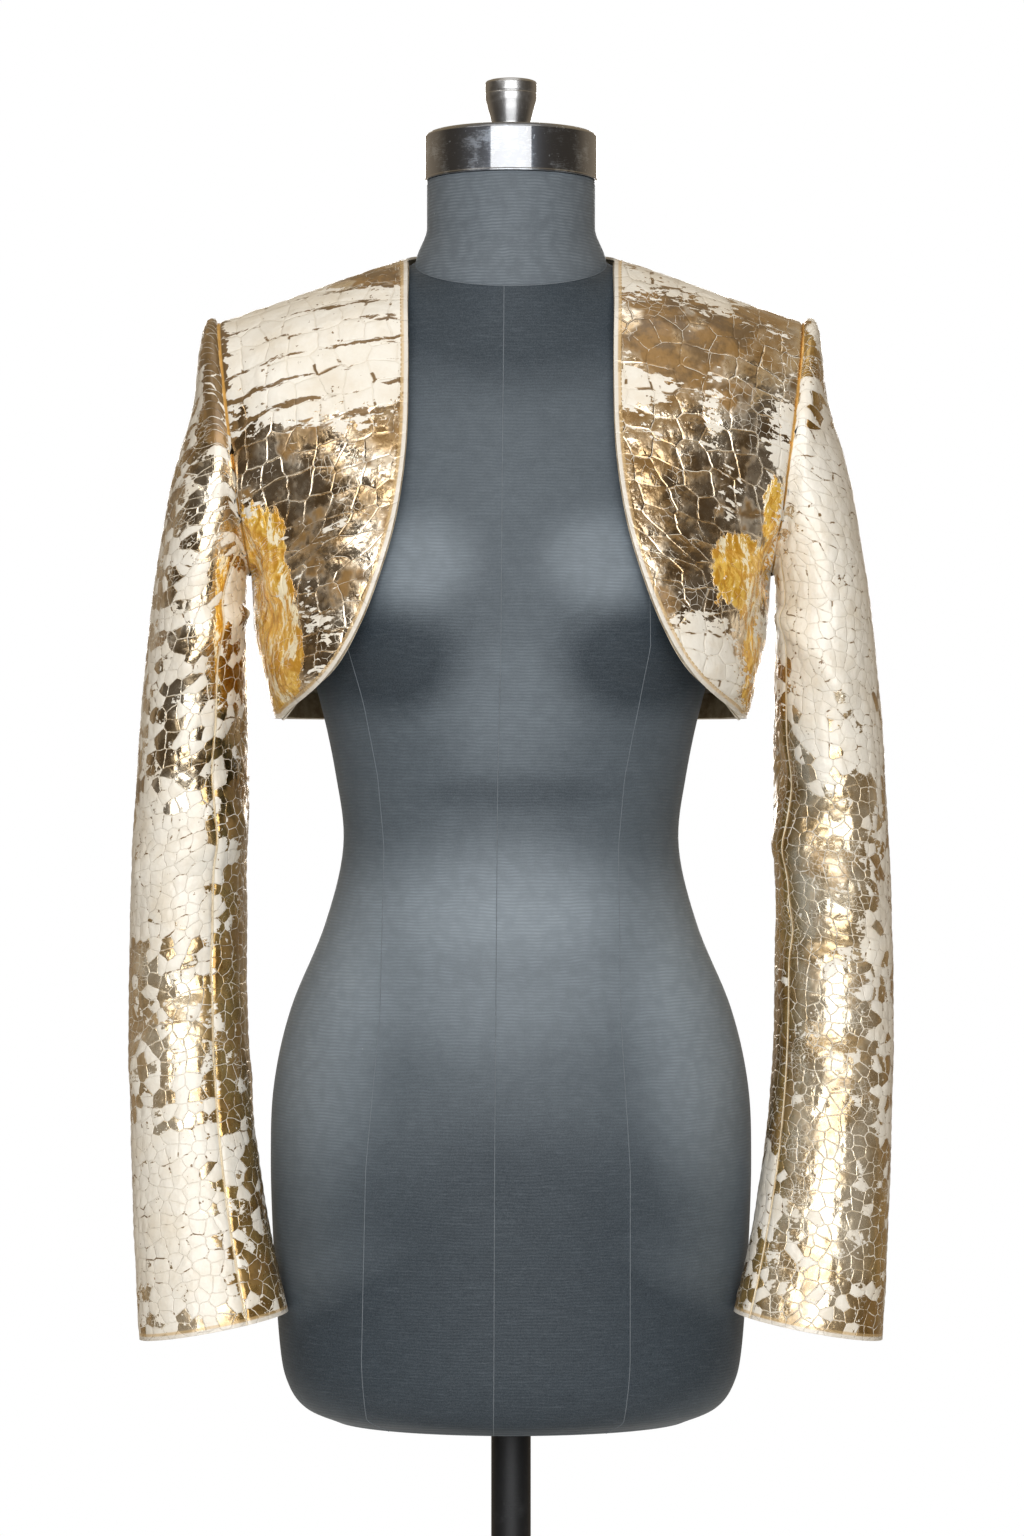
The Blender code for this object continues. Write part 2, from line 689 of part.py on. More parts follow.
def build_sleeves(material, collection):
    """Both sleeves, each a top and an under piece."""
    down = np.concatenate([(0.0, 1.0, 2.0), np.linspace(3.0, len(SLEEVE_RINGS) - 1.0, SLEEVE_ROWS)])
    plane = np.cross(SHOULDER_TIP - UNDERARM, (0.0, 1.0, 0.0))
    plane = plane / -np.linalg.norm(plane)
    for side in ("left", "right"):
        for piece in ("top", "under"):
            columns = TOP_SLEEVE_COLUMNS if piece == "top" else UNDER_SLEEVE_COLUMNS
            angles = sleeve_angles(side, down, piece == "under", columns)
            outer, normal = sleeve_surface(FOLDS[f"sleeve_{side}"], angles, down)
            inner = outer - normal * LEATHER
            for edge in ("left", "right"):
                parted(outer, inner, edge)
            for grid in (outer, inner):
                past = (grid - SHOULDER_TIP) @ plane
                grid += np.maximum(SEAM_GAP - past, 0.0)[..., None] * plane
            turn = (lambda points: points) if side == "left" else mirrored
            add_wall(f"sleeve_{piece}_{side}", turn(outer), turn(inner), material, collection)


def form_rings(count, segments):
    """Rings of the torso, the first on the neck seam."""
    turn = np.linspace(0.0, 2 * math.pi, segments, endpoint=False)
    wave = np.sin(turn)
    rings = []
    for position in np.linspace(0.0, len(FORM_RINGS) - 1.0, count):
        ring = FormRing(*through(FORM_RINGS, position))
        level = fade(1 - position)
        size = np.abs(wave)
        fall_front = (ring.side_z - ring.front_z) * (level * size + (1 - level) * size**FRONT_FALL)
        fall_back = (ring.side_z - ring.back_z) * (level * size + (1 - level) * size**BACK_FALL)
        heights = ring.side_z - np.where(wave < 0, fall_front, fall_back)
        widths = ring.half_width * np.cos(turn)
        depths = (ring.back - ring.front) / 2 + (ring.back + ring.front) / 2 * wave
        apart = np.hypot(np.abs(widths) - BUST_HALF_SPREAD, heights - BUST_HEIGHT) / BUST_RADIUS
        depths = depths - BUST_RISE * np.exp(-(apart**2)) * fade(-wave * 2)
        rings.append(np.stack([widths, depths, heights], axis=-1))
    return np.array(rings)


def build_form(fabric, neck_fabric, collection, cutters):
    """The torso, with a socket for the pole, and the neck on its leaning seam."""
    rings = form_rings(FORM_LEVELS, FORM_SEGMENTS)
    torso = add_loft("form_torso", rings, fabric, collection)
    bpy.ops.mesh.primitive_cylinder_add(
        radius=POLE_RADIUS + SEAM_GAP,
        depth=2 * POLE_SOCKET_DEPTH,
        location=(0.0, 0.0, FORM_RINGS[-1].side_z),
    )
    socket = bpy.context.object
    socket.name = "pole_socket"
    socket.display_type = "WIRE"
    socket.hide_render = True
    for owner in list(socket.users_collection):
        owner.objects.unlink(socket)
    cutters.objects.link(socket)
    cut = torso.modifiers.new("Pole socket", "BOOLEAN")
    cut.operation = "DIFFERENCE"
    cut.object = socket

    turn = np.linspace(0.0, 2 * math.pi, FORM_SEGMENTS, endpoint=False)
    seam_height = rings[0][:, 2] + SEAM_GAP
    levels = []
    for share in NECK_LEVELS:
        narrowed = fade(share / NECK_FLARE)
        radius = NECK_RADIUS + (1 - narrowed) * (FORM_RINGS[0].half_width - NECK_RADIUS)
        height = seam_height * (1 - share) + NECK_TOP * share
        depth = radius * (NECK_FOOT_DEPTH + (1 - NECK_FOOT_DEPTH) * narrowed)
        levels.append(np.stack([radius * np.cos(turn), depth * np.sin(turn), height], axis=-1))
    add_loft("form_neck", np.array(levels), neck_fabric, collection)


def build_cap(cap_metal, knob_metal, collection):
    """The metal cap of the neck, gently crowned, and the knob that stands on it."""
    crown = CAP_TOP + CAP_CROWN
    band = (
        (0.0, crown),
        (0.35 * CAP_RADIUS, CAP_TOP + 0.87 * CAP_CROWN),
        (0.70 * CAP_RADIUS, CAP_TOP + 0.47 * CAP_CROWN),
        (CAP_RADIUS - CAP_EDGE, CAP_TOP),
        (CAP_RADIUS, CAP_TOP - CAP_EDGE),
        (CAP_RADIUS, CAP_BOTTOM),
        (0.0, CAP_BOTTOM),
    )
    add_turned("neck_cap", band, 32, cap_metal, collection)
    foot = crown + SEAM_GAP
    knob = (
        (0.0, KNOB_TOP),
        (KNOB_RADIUS - KNOB_EDGE, KNOB_TOP),
        (KNOB_RADIUS, KNOB_TOP - KNOB_EDGE),
        (KNOB_RADIUS, KNOB_TOP - KNOB_BAND),
        (KNOB_FOOT_RADIUS, foot),
        (0.0, foot),
    )
    add_turned("cap_knob", knob, 24, knob_metal, collection)


def build_stand(metal, collection):
    """The pole, from its hub to its socket in the torso, and the round base."""
    pole_foot = BASE_THICKNESS + SEAM_GAP
    pole_top = FORM_RINGS[-1].side_z + POLE_SOCKET_DEPTH - SEAM_GAP
    bpy.ops.mesh.primitive_cylinder_add(
        vertices=32,
        radius=POLE_RADIUS,
        depth=pole_top - pole_foot,
        location=(0.0, 0.0, (pole_top + pole_foot) / 2),
    )
    pole = bpy.context.object
    pole.name = "stand_pole"
    pole.data.materials.append(metal)
    for owner in list(pole.users_collection):
        owner.objects.unlink(pole)
    collection.objects.link(pole)
    bore = POLE_RADIUS + SEAM_GAP
    base = (
        (0.0, BASE_THICKNESS),
        (bore, BASE_THICKNESS),
        (bore, BASE_HUB_TOP),
        (BASE_HUB_RADIUS - BASE_EDGE, BASE_HUB_TOP),
        (BASE_HUB_RADIUS, BASE_HUB_TOP - BASE_EDGE),
        (BASE_HUB_RADIUS, BASE_THICKNESS + BASE_FILLET),
        (BASE_HUB_RADIUS + 0.3 * BASE_FILLET, BASE_THICKNESS + 0.3 * BASE_FILLET),
        (BASE_HUB_RADIUS + BASE_FILLET, BASE_THICKNESS),
        (BASE_RADIUS - 3 * BASE_EDGE, BASE_THICKNESS - BASE_EDGE),
        (BASE_RADIUS, BASE_THICKNESS - 3 * BASE_EDGE),
        (BASE_RADIUS, 0.0),
        (0.0, 0.0),
    )
    add_turned("stand_base", base, 48, metal, collection)


def main():
    for leftover in list(bpy.data.objects):
        bpy.data.objects.remove(leftover, do_unlink=True)
    collection = bpy.data.collections.new("leather_bolero_jacket")
    cutters = bpy.data.collections.new("cutters")
    bpy.context.scene.collection.children.link(collection)
    bpy.context.scene.collection.children.link(cutters)

    leather = principled("Foiled leather", (0.70, 0.58, 0.38), 0.35, 0.4)
    facing = principled("Facing leather", (0.62, 0.55, 0.45), 0.6)
    fabric = principled("Form jersey", (0.075, 0.095, 0.115), 0.85)
    neck_fabric = principled("Neck jersey", (0.12, 0.14, 0.16), 0.85)
    cap_metal = principled("Cap chrome", (0.75, 0.76, 0.78), 0.12, 1.0)
    knob_metal = principled("Knob steel", (0.45, 0.46, 0.46), 0.35, 1.0)
    stand_metal = principled("Stand iron", (0.10, 0.10, 0.11), 0.5, 0.9)

    build_bodice(leather, facing, collection)
    build_sleeves(leather, collection)
    build_form(fabric, neck_fabric, collection, cutters)
    build_cap(cap_metal, knob_metal, collection)
    build_stand(stand_metal, collection)


if __name__ == "__main__":
    main()
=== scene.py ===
"""Looks of a cropped jacket in worn gold-foiled leather on its dress form.

The jacket's panels follow the same tables as the part's solids, at a finer step, with the scales of the
embossed leather raised on them, their seams sunk and their edges stitched. Metres, +Z up, the front
towards -Y, the wearer's left at +X.
"""

import json
import logging
import math
from collections.abc import Callable, Sequence
from dataclasses import dataclass, field
from enum import Enum
from typing import NamedTuple

import bpy
import numpy as np
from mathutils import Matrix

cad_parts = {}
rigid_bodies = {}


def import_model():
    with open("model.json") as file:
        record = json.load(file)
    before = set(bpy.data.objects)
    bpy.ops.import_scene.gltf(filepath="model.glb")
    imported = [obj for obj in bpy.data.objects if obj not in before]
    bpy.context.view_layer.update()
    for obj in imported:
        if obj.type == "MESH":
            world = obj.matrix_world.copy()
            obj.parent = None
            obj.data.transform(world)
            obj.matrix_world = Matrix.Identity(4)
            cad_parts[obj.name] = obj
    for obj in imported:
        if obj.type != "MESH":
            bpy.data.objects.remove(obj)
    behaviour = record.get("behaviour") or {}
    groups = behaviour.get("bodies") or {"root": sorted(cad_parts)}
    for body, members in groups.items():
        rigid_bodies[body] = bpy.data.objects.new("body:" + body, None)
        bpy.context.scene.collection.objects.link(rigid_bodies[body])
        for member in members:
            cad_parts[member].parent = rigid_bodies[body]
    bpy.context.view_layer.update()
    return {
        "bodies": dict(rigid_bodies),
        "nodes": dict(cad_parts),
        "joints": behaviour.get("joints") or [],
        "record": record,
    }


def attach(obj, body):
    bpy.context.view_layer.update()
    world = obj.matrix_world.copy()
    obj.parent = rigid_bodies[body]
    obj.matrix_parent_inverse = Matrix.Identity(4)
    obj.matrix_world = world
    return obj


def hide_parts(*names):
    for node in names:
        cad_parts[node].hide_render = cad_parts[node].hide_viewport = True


log = logging.getLogger("scene")

Colour = tuple[float, float, float]
Array = np.ndarray
Piece = bpy.types.Object
Surface = Callable[[Array, Array], Array]

LEATHER = 0.0020
FACING = 0.0012
SEAM_GAP = 0.0003
STEP = 1e-3
STEP_ANGLE = 0.4
STEP_DOWN = 0.02
FINE_MARK = 0.0004
ROUGH_MARK = 0.004
BLOCK = 2000

SHOULDER_TIP = np.array((0.1950, 0.005, 1.3173))
UNDERARM = np.array((0.1740, 0.005, 1.1500))
ARMHOLE_HALF_DEPTH = 0.058
UNDERARM_ROW = 5.0
HEM_ROW = 8.0
NECK_SHARE = 0.4
NECK_POINT = np.array((0.0700, 0.005, 1.3600))
ROW_HANDLE = 0.37

SLEEVE_RINGS_AT_ARMHOLE = 9.0
FRONT_SEAM_AT_ARMHOLE = 150.0
FRONT_SEAM = {"left": 146.0, "right": 120.0}
BACK_SEAM = -110.0

# The scales' unevenness and where each panel's pattern starts across, which tell the panels apart.
BODY_UNEVEN = 0.5
SLEEVE_UNEVEN = 0.75
PATTERN_START = {
    "front_left": 3.0, "front_right": 31.0, "back": 60.5, "sleeve_left": 90.0, "sleeve_right": 130.0
}
UNDER_SLEEVE_START = 17.0
LEFT_FRONT_END = (22.0, 24.0)
LEFT_SLEEVE_END = (124.0, 120.0)
SLEEVE_PITCH = 40.0
STITCH_INSET = 0.0045

BUST_HALF_SPREAD = 0.080
BUST_HEIGHT = 1.120
BUST_RISE = 0.014
BUST_RADIUS = 0.045
FRONT_FALL = 1.35
BACK_FALL = 1.6


class Side(Enum):
    """The wearer's side that a piece belongs to."""

    LEFT = "left"
    RIGHT = "right"

    def turned(self, points: Array) -> Array:
        """Points made for the left side, on this side."""
        return points if self is Side.LEFT else points * np.array((-1.0, 1.0, 1.0))


class FrontRow(NamedTuple):
    """One row of the front: its point on the front edge, and its degrees in plan at either end."""

    edge_x: float
    edge_y: float
    edge_z: float
    turn_edge: float
    turn_side: float


class BackRow(NamedTuple):
    """One row of the back: its point on the centre back, and its degrees in plan at the side."""

    centre_y: float
    centre_z: float
    turn_side: float


class SideRow(NamedTuple):
    """One point of the side seam."""

    side_x: float
    side_z: float


class SleeveRing(NamedTuple):
    """One ring of the sleeve: its outer and inner points from the front, its middle and half depth."""

    outer_x: float
    outer_z: float
    inner_x: float
    inner_z: float
    middle_y: float
    half_depth: float


class FormRing(NamedTuple):
    """One ring of the torso: its heights at the side, front and back, and its reach to each."""

    side_z: float
    front_z: float
    back_z: float
    half_width: float
    front: float
    back: float


class Fold(NamedTuple):
    """One soft fold: its start and end on the panel, its half width and its height, in metres."""

    across_start: float
    down_start: float
    across_end: float
    down_end: float
    half_width: float
    height: float


class WornPatch(NamedTuple):
    """A patch where the foil is worn to the cream leather, or kept where the amount is below 0."""

    x: float
    z: float
    reach_x: float
    reach_z: float
    amount: float


def table(kind: Callable, *rows: Sequence[float]) -> tuple:
    """Rows of one kind, from their plain numbers."""
    return tuple(kind(*row) for row in rows)


FRONT_ROWS = table(
    FrontRow,
    (0.07, 0.005, 1.36, 0.0, 0.0),
    (0.0677, -0.054, 1.322, -8.0, 22.0),
    (0.0668, -0.08, 1.276, -3.0, 30.0),
    (0.068, -0.0985, 1.228, 2.0, 42.0),
    (0.0741, -0.11, 1.183, 6.0, 58.0),
    (0.0846, -0.116, 1.145, 10.0, 84.0),
    (0.0995, -0.116, 1.108, 16.0, 88.0),
    (0.1209, -0.106, 1.076, 35.0, 90.0),
    (0.152, -0.045, 1.053, 76.0, 92.0),
)

BACK_ROWS = table(
    BackRow,
    (0.08, 1.373, 0.0),
    (0.093, 1.338, 24.0),
    (0.104, 1.29, 32.0),
    (0.109, 1.235, 42.0),
    (0.109, 1.185, 58.0),
    (0.107, 1.15, 84.0),
    (0.103, 1.112, 88.0),
    (0.099, 1.08, 90.0),
    (0.096, 1.053, 88.0),
)

SIDE_SEAM = table(
    SideRow,
    (0.174, 1.15),
    (0.1705, 1.108),
    (0.163, 1.078),
    (0.1573, 1.053),
)

SLEEVE_RINGS = table(
    SleeveRing,
    (0.195, 1.3173, 0.174, 1.15, 0.005, 0.058),
    (0.1992, 1.3206, 0.1748, 1.1494, 0.005, 0.0588),
    (0.204, 1.3165, 0.1752, 1.1485, 0.005, 0.0594),
    (0.2073, 1.302, 0.1754, 1.147, 0.005, 0.0598),
    (0.2113, 1.265, 0.1755, 1.144, 0.005, 0.06),
    (0.2243, 1.2187, 0.1755, 1.14, 0.006, 0.06),
    (0.2323, 1.1787, 0.1755, 1.133, 0.007, 0.0598),
    (0.2377, 1.1453, 0.1755, 1.122, 0.008, 0.0592),
    (0.2433, 1.0987, 0.1755, 1.098, 0.009, 0.058),
    (0.2477, 1.052, 0.1752, 1.054, 0.01, 0.0562),
    (0.251, 0.9987, 0.1755, 0.9987, 0.01, 0.0545),
    (0.2533, 0.952, 0.176, 0.952, 0.008, 0.053),
    (0.2543, 0.9053, 0.176, 0.9053, 0.003, 0.0515),
    (0.2543, 0.8653, 0.1755, 0.8653, -0.003, 0.05),
    (0.2533, 0.8253, 0.1737, 0.8253, -0.011, 0.0485),
    (0.2513, 0.7787, 0.169, 0.7787, -0.021, 0.047),
    (0.249, 0.732, 0.162, 0.734, -0.031, 0.0455),
    (0.2463, 0.6853, 0.1535, 0.694, -0.04, 0.0442),
    (0.2435, 0.646, 0.146, 0.664, -0.046, 0.043),
)

FORM_RINGS = table(
    FormRing,
    (1.3556, 1.3346, 1.378, 0.0635, 0.0605, 0.06),
    (1.3502, 1.306, 1.334, 0.082, 0.0665, 0.065),
    (1.3436, 1.284, 1.306, 0.105, 0.0735, 0.078),
    (1.335, 1.262, 1.29, 0.13, 0.081, 0.088),
    (1.3282, 1.238, 1.268, 0.15, 0.087, 0.0935),
    (1.318, 1.214, 1.244, 0.168, 0.093, 0.098),
    (1.285, 1.185, 1.225, 0.174, 0.1, 0.1015),
    (1.23, 1.155, 1.185, 0.168, 0.106, 0.102),
    (1.175, 1.125, 1.145, 0.158, 0.107, 0.099),
    (1.12, 1.09, 1.1, 0.145, 0.103, 0.093),
    (1.07, 1.056, 1.06, 0.1285, 0.095, 0.086),
    (1.016, 1.013, 1.013, 0.1167, 0.0865, 0.08),
    (0.968, 0.968, 0.968, 0.1117, 0.082, 0.079),
    (0.915, 0.915, 0.915, 0.1242, 0.086, 0.086),
    (0.86, 0.86, 0.86, 0.1467, 0.094, 0.0975),
    (0.81, 0.81, 0.81, 0.158, 0.1, 0.106),
    (0.76, 0.76, 0.76, 0.1603, 0.1025, 0.11),
    (0.698, 0.698, 0.698, 0.1583, 0.102, 0.109),
    (0.635, 0.635, 0.635, 0.154, 0.0995, 0.105),
    (0.61, 0.61, 0.61, 0.1485, 0.0955, 0.101),
    (0.595, 0.595, 0.595, 0.1375, 0.087, 0.092),
    (0.586, 0.586, 0.586, 0.117, 0.072, 0.076),
)

# The folds, by panel: first the part's own, then the small creases that only show up close.
FOLDS = {
    "front_left": table(
        Fold,
        (1.0, 3.2, 0.5, 5.3, 0.014, 0.006),
        (0.92, 5.0, 0.45, 6.3, 0.014, -0.0035),
        (0.55, 1.2, 0.75, 3.2, 0.016, 0.002),
        (0.97, 3.9, 0.72, 5.2, 0.005, -0.0022),
        (0.96, 4.5, 0.62, 5.5, 0.004, 0.0016),
    ),
    "front_right": table(
        Fold,
        (0.98, 3.1, 0.55, 5.2, 0.014, 0.006),
        (0.92, 4.8, 0.4, 6.1, 0.014, -0.0035),
        (0.6, 1.0, 0.8, 3.0, 0.016, 0.002),
        (0.96, 3.7, 0.74, 5.0, 0.005, -0.0022),
        (0.97, 4.3, 0.64, 5.4, 0.004, 0.0016),
    ),
    "back": table(
        Fold,
        (0.95, 3.6, 0.45, 4.8, 0.015, 0.0045),
        (-0.95, 3.4, -0.5, 4.9, 0.015, 0.005),
        (0.55, 5.8, -0.2, 6.4, 0.017, -0.003),
        (0.95, 4.3, 0.62, 5.2, 0.006, -0.0016),
        (-0.95, 4.2, -0.6, 5.3, 0.006, -0.0016),
    ),
    "sleeve_left": table(
        Fold,
        (150.0, 7.2, 80.0, 8.6, 0.014, 0.0045),
        (165.0, 9.6, 95.0, 10.3, 0.014, -0.0035),
        (160.0, 10.6, 60.0, 11.2, 0.014, 0.0045),
        (150.0, 11.8, 70.0, 12.1, 0.014, -0.003),
        (120.0, 13.8, 40.0, 14.2, 0.014, 0.0035),
        (-150.0, 8.0, -60.0, 8.9, 0.016, 0.004),
        (-160.0, 11.4, -40.0, 11.0, 0.016, -0.0035),
        (-140.0, 14.6, -50.0, 15.3, 0.016, 0.0035),
        (135.0, 11.9, 62.0, 12.15, 0.004, -0.0014),
        (118.0, 12.9, 66.0, 13.0, 0.004, 0.0012),
    ),
    "sleeve_right": table(
        Fold,
        (155.0, 7.0, 90.0, 8.2, 0.014, 0.0045),
        (160.0, 9.2, 85.0, 10.0, 0.014, -0.0035),
        (150.0, 10.4, 40.0, 11.0, 0.014, 0.0042),
        (110.0, 12.4, 35.0, 13.2, 0.014, -0.003),
        (75.0, 13.5, 30.0, 14.1, 0.014, 0.003),
        (-150.0, 8.4, -70.0, 9.0, 0.016, 0.0038),
        (-160.0, 11.0, -50.0, 11.6, 0.016, -0.0035),
        (-150.0, 14.2, -60.0, 14.9, 0.016, 0.0035),
        (104.0, 12.8, 48.0, 13.0, 0.004, -0.0016),
        (96.0, 13.3, 56.0, 13.35, 0.004, 0.0014),
    ),
}
FRONT_SCALE = (0.110, 0.040)
BACK_SCALE = (0.180, 0.040)
SLEEVE_SCALE = (0.00096, 0.045)
FOLDS_CLEAR_OF_SIDE = 0.07
FOLDS_CLEAR_OF_SHOULDER = 0.5
FOLDS_CLEAR_OF_CAP = (1.0, 3.0)

# Where the foil is worn away, seen from the front (-Y) and from the back.
WORN_FRONT = table(
    WornPatch,
    (-0.13, 1.3, 0.1, 0.062, 1.45),
    (-0.094, 1.352, 0.04, 0.017, -2.0),
    (-0.196, 1.29, 0.011, 0.046, -1.45),
    (-0.095, 1.19, 0.05, 0.05, -0.3),
    (0.1, 1.3, 0.036, 0.026, -0.6),
    (0.085, 1.266, 0.024, 0.014, 1.3),
    (0.095, 1.2, 0.036, 0.055, -0.5),
    (0.13, 1.347, 0.08, 0.022, 0.85),
    (0.132, 1.262, 0.009, 0.036, 0.55),
    (0.144, 1.2, 0.01, 0.026, 0.45),
    (0.172, 1.232, 0.009, 0.028, 0.5),
    (0.205, 0.86, 0.034, 0.15, -0.4),
    (0.12, 1.09, 0.03, 0.03, 1.0),
    (0.142, 1.064, 0.024, 0.022, 0.7),
    (-0.214, 1.27, 0.01, 0.05, 0.55),
    (-0.222, 1.085, 0.045, 0.1, 0.52),
    (-0.176, 1.125, 0.012, 0.036, 0.9),
    (-0.225, 0.945, 0.05, 0.055, 1.3),
    (-0.18, 0.9, 0.012, 0.12, -0.7),
    (-0.225, 0.72, 0.055, 0.09, 1.25),
    (-0.165, 0.7, 0.016, 0.05, -0.35),
    (0.2, 1.3, 0.02, 0.05, -0.45),
    (0.158, 1.225, 0.022, 0.06, -0.7),
    (0.207, 1.318, 0.011, 0.032, 1.05),
    (0.215, 1.15, 0.055, 0.13, 1.45),
    (0.18, 1.0, 0.012, 0.08, -0.6),
    (0.246, 0.9, 0.012, 0.14, 0.9),
    (0.165, 0.72, 0.014, 0.06, 1.0),
)
WORN_BACK = table(
    WornPatch,
    (-0.06, 1.3, 0.09, 0.045, 0.85),
    (0.11, 1.2, 0.07, 0.05, 0.6),
    (-0.05, 1.12, 0.12, 0.035, 0.4),
    (0.16, 1.31, 0.05, 0.03, 0.5),
    (-0.225, 1.15, 0.045, 0.12, 0.85),
    (-0.225, 0.8, 0.045, 0.09, 0.6),
    (0.225, 1.02, 0.045, 0.14, 0.9),
    (0.215, 0.7, 0.045, 0.06, 0.5),
)
WORN_START = -0.42
PATCH_EDGE = 1.35

# Where the foil has lost its shine down to its brown size.
MATT_FRONT = table(
    WornPatch,
    (0.11, 1.315, 0.055, 0.04, 1.0),
    (0.165, 1.29, 0.03, 0.03, 0.6),
    (-0.085, 1.34, 0.03, 0.016, 1.0),
    (-0.18, 0.9, 0.014, 0.12, 0.6),
    (-0.192, 1.285, 0.014, 0.062, 1.9),
)

# Where the foil is a deep yellow, round both armpits and beside the sleeves' front seams.
AMBER_FRONT = table(
    WornPatch,
    (-0.166, 1.152, 0.022, 0.04, 1.0),
    (-0.152, 1.095, 0.017, 0.052, 1.1),
    (0.154, 1.147, 0.028, 0.03, 1.0),
    (0.172, 1.19, 0.01, 0.024, 1.0),
    (0.158, 1.08, 0.012, 0.045, 0.7),
)
AMBER_SLEEVE = table(
    WornPatch,
    (-0.189, 1.105, 0.0065, 0.07, 0.9),
)


def through(rows: Sequence, position: float, before: Array | None = None) -> Array:
    """A smooth curve through a table's rows, read at a position that counts them.

    Args:
        rows: the table, one row of numbers or of points each.
        position: how far down the table, 0 at its first row.
        before: the row before the first, or its mirror image if there is none.

    Returns:
        The row at that position.
    """
    rows = np.asarray(rows, float)
    first = 2 * rows[0] - rows[1] if before is None else before
    last = 2 * rows[-1] - rows[-2]
    padded = np.concatenate([first[None], rows, last[None]])
    index = min(int(position), len(rows) - 2)
    share = position - index
    a, b, c, d = padded[index : index + 4]
    return 0.5 * (
        2 * b
        + (c - a) * share
        + (2 * a - 5 * b + 4 * c - d) * share**2
        + (3 * b - a - 3 * c + d) * share**3
    )


def fade(value: Array | float) -> Array:
    """0 below 0 and 1 above 1, with a smooth step between."""
    value = np.clip(value, 0.0, 1.0)
    return value * value * (3 - 2 * value)


def unit(vectors: Array) -> Array:
    """The same vectors, one long."""
    return vectors / np.linalg.norm(vectors, axis=-1, keepdims=True)


def run_along(points: Array, axis: int) -> Array:
    """The length run along a grid's rows or columns up to each point.

    Args:
        points: a grid of points, rows by columns by 3.
        axis: 1 along the rows, 0 down the columns.

    Returns:
        A grid of lengths that starts at 0.
    """
    steps = np.linalg.norm(np.diff(points, axis=axis), axis=-1)
    start = np.zeros_like(np.take(points[..., 0], [0], axis=axis))
    return np.concatenate([start, np.cumsum(steps, axis=axis)], axis=axis)


def length_along(line: Array) -> Array:
    """The length run along a line of points up to each of them."""
    return np.concatenate([[0.0], np.cumsum(np.linalg.norm(np.diff(line, axis=0), axis=1))])


def read_along(line: Array, run: Array, marks: Array | float) -> Array:
    """Three numbers that go along a line, read at some lengths along it."""
    return np.stack([np.interp(marks, run, line[:, axis]) for axis in range(3)], axis=-1)


def spaced(length: float, step: float) -> Array:
    """Shares from 0 to 1 along a length, closer together near both ends.

    Args:
        length: the length in metres.
        step: the step away from the ends, in metres.

    Returns:
        Rising shares, the first 0 and the last 1.
    """
    near = np.array((0.0, 0.0005, 0.0011, 0.0019, 0.0030))
    count = max(2, round((length - 2 * near[-1]) / step) + 1)
    middle = np.linspace(near[-1], length - near[-1], count)
    return np.concatenate([near[:-1], middle, length - near[-2::-1]]) / length


def heading(degrees: float, length: float, towards_back: bool) -> Array:
    """A step in plan from +X towards +Y, or towards -Y."""
    angle = math.radians(degrees)
    turn = 1 if towards_back else -1
    return np.array((math.cos(angle) * length, turn * math.sin(angle) * length, 0.0))


def row_curve(
    start: Array, end: Array, turn_start: float, turn_end: float, towards_back: bool, across: Array
) -> Array:
    """The points of one row: a cubic curve with given directions in plan at its ends.

    Args:
        start: where the row starts.
        end: where it ends.
        turn_start: its direction at the start, in degrees.
        turn_end: its direction at the end, in degrees.
        towards_back: whether the degrees turn from +X towards +Y.
        across: the shares of the row to read.

    Returns:
        One point for each share.
    """
    length = ROW_HANDLE * np.linalg.norm((end - start)[:2])
    rise = np.array((0.0, 0.0, (end[2] - start[2]) / 3))
    near = start + heading(turn_start, length, towards_back) + rise
    far = end - heading(turn_end, length, towards_back) - rise
    share = np.asarray(across)[:, None]
    rest = 1 - share
    return rest**3 * start + 3 * rest**2 * share * near + 3 * rest * share**2 * far + share**3 * end


def armhole_point(angle: float) -> Array:
    """A point of the armhole: 0 degrees at the shoulder tip, 90 at the front, 180 at the underarm."""
    turn = math.radians(angle)
    middle = (SHOULDER_TIP + UNDERARM) / 2
    point = middle + (SHOULDER_TIP - UNDERARM) / 2 * math.cos(turn)
    return point - np.array((0.0, ARMHOLE_HALF_DEPTH * math.sin(turn), 0.0))


def side_point(down: float, front: bool) -> Array:
    """Where a row meets the armhole, or the side seam below it."""
    if down <= UNDERARM_ROW:
        angle = 180.0 * down / UNDERARM_ROW
        return armhole_point(angle if front else -angle)
    side_x, side_z = through(SIDE_SEAM, down - UNDERARM_ROW)
    return np.array((side_x, UNDERARM[1], side_z))


def front_rows(across: Array) -> Array:
    """Every table row of the front, at the given shares of its width."""
    rows = []
    for index, row in enumerate(FRONT_ROWS):
        side = side_point(float(index), front=True)
        rows.append(row_curve(np.array(row[:3]), side, row.turn_edge, row.turn_side, True, across))
    return np.array(rows)


def neckline_and_shoulder(across: Array) -> Array:
    """The back's top row: round the neck, then along the shoulder seam."""
    centre = np.array((0.0, BACK_ROWS[0].centre_y, BACK_ROWS[0].centre_z))
    reach = NECK_POINT - centre
    points = []
    for share in across:
        if share <= NECK_SHARE:
            turn = 0.5 * math.pi * share / NECK_SHARE
            round_neck = (math.sin(turn), 1 - math.cos(turn), 1 - math.cos(turn))
            points.append(centre + reach * round_neck)
        else:
            along = (share - NECK_SHARE) / (1 - NECK_SHARE)
            points.append(NECK_POINT + (SHOULDER_TIP - NECK_POINT) * along)
    return np.array(points)


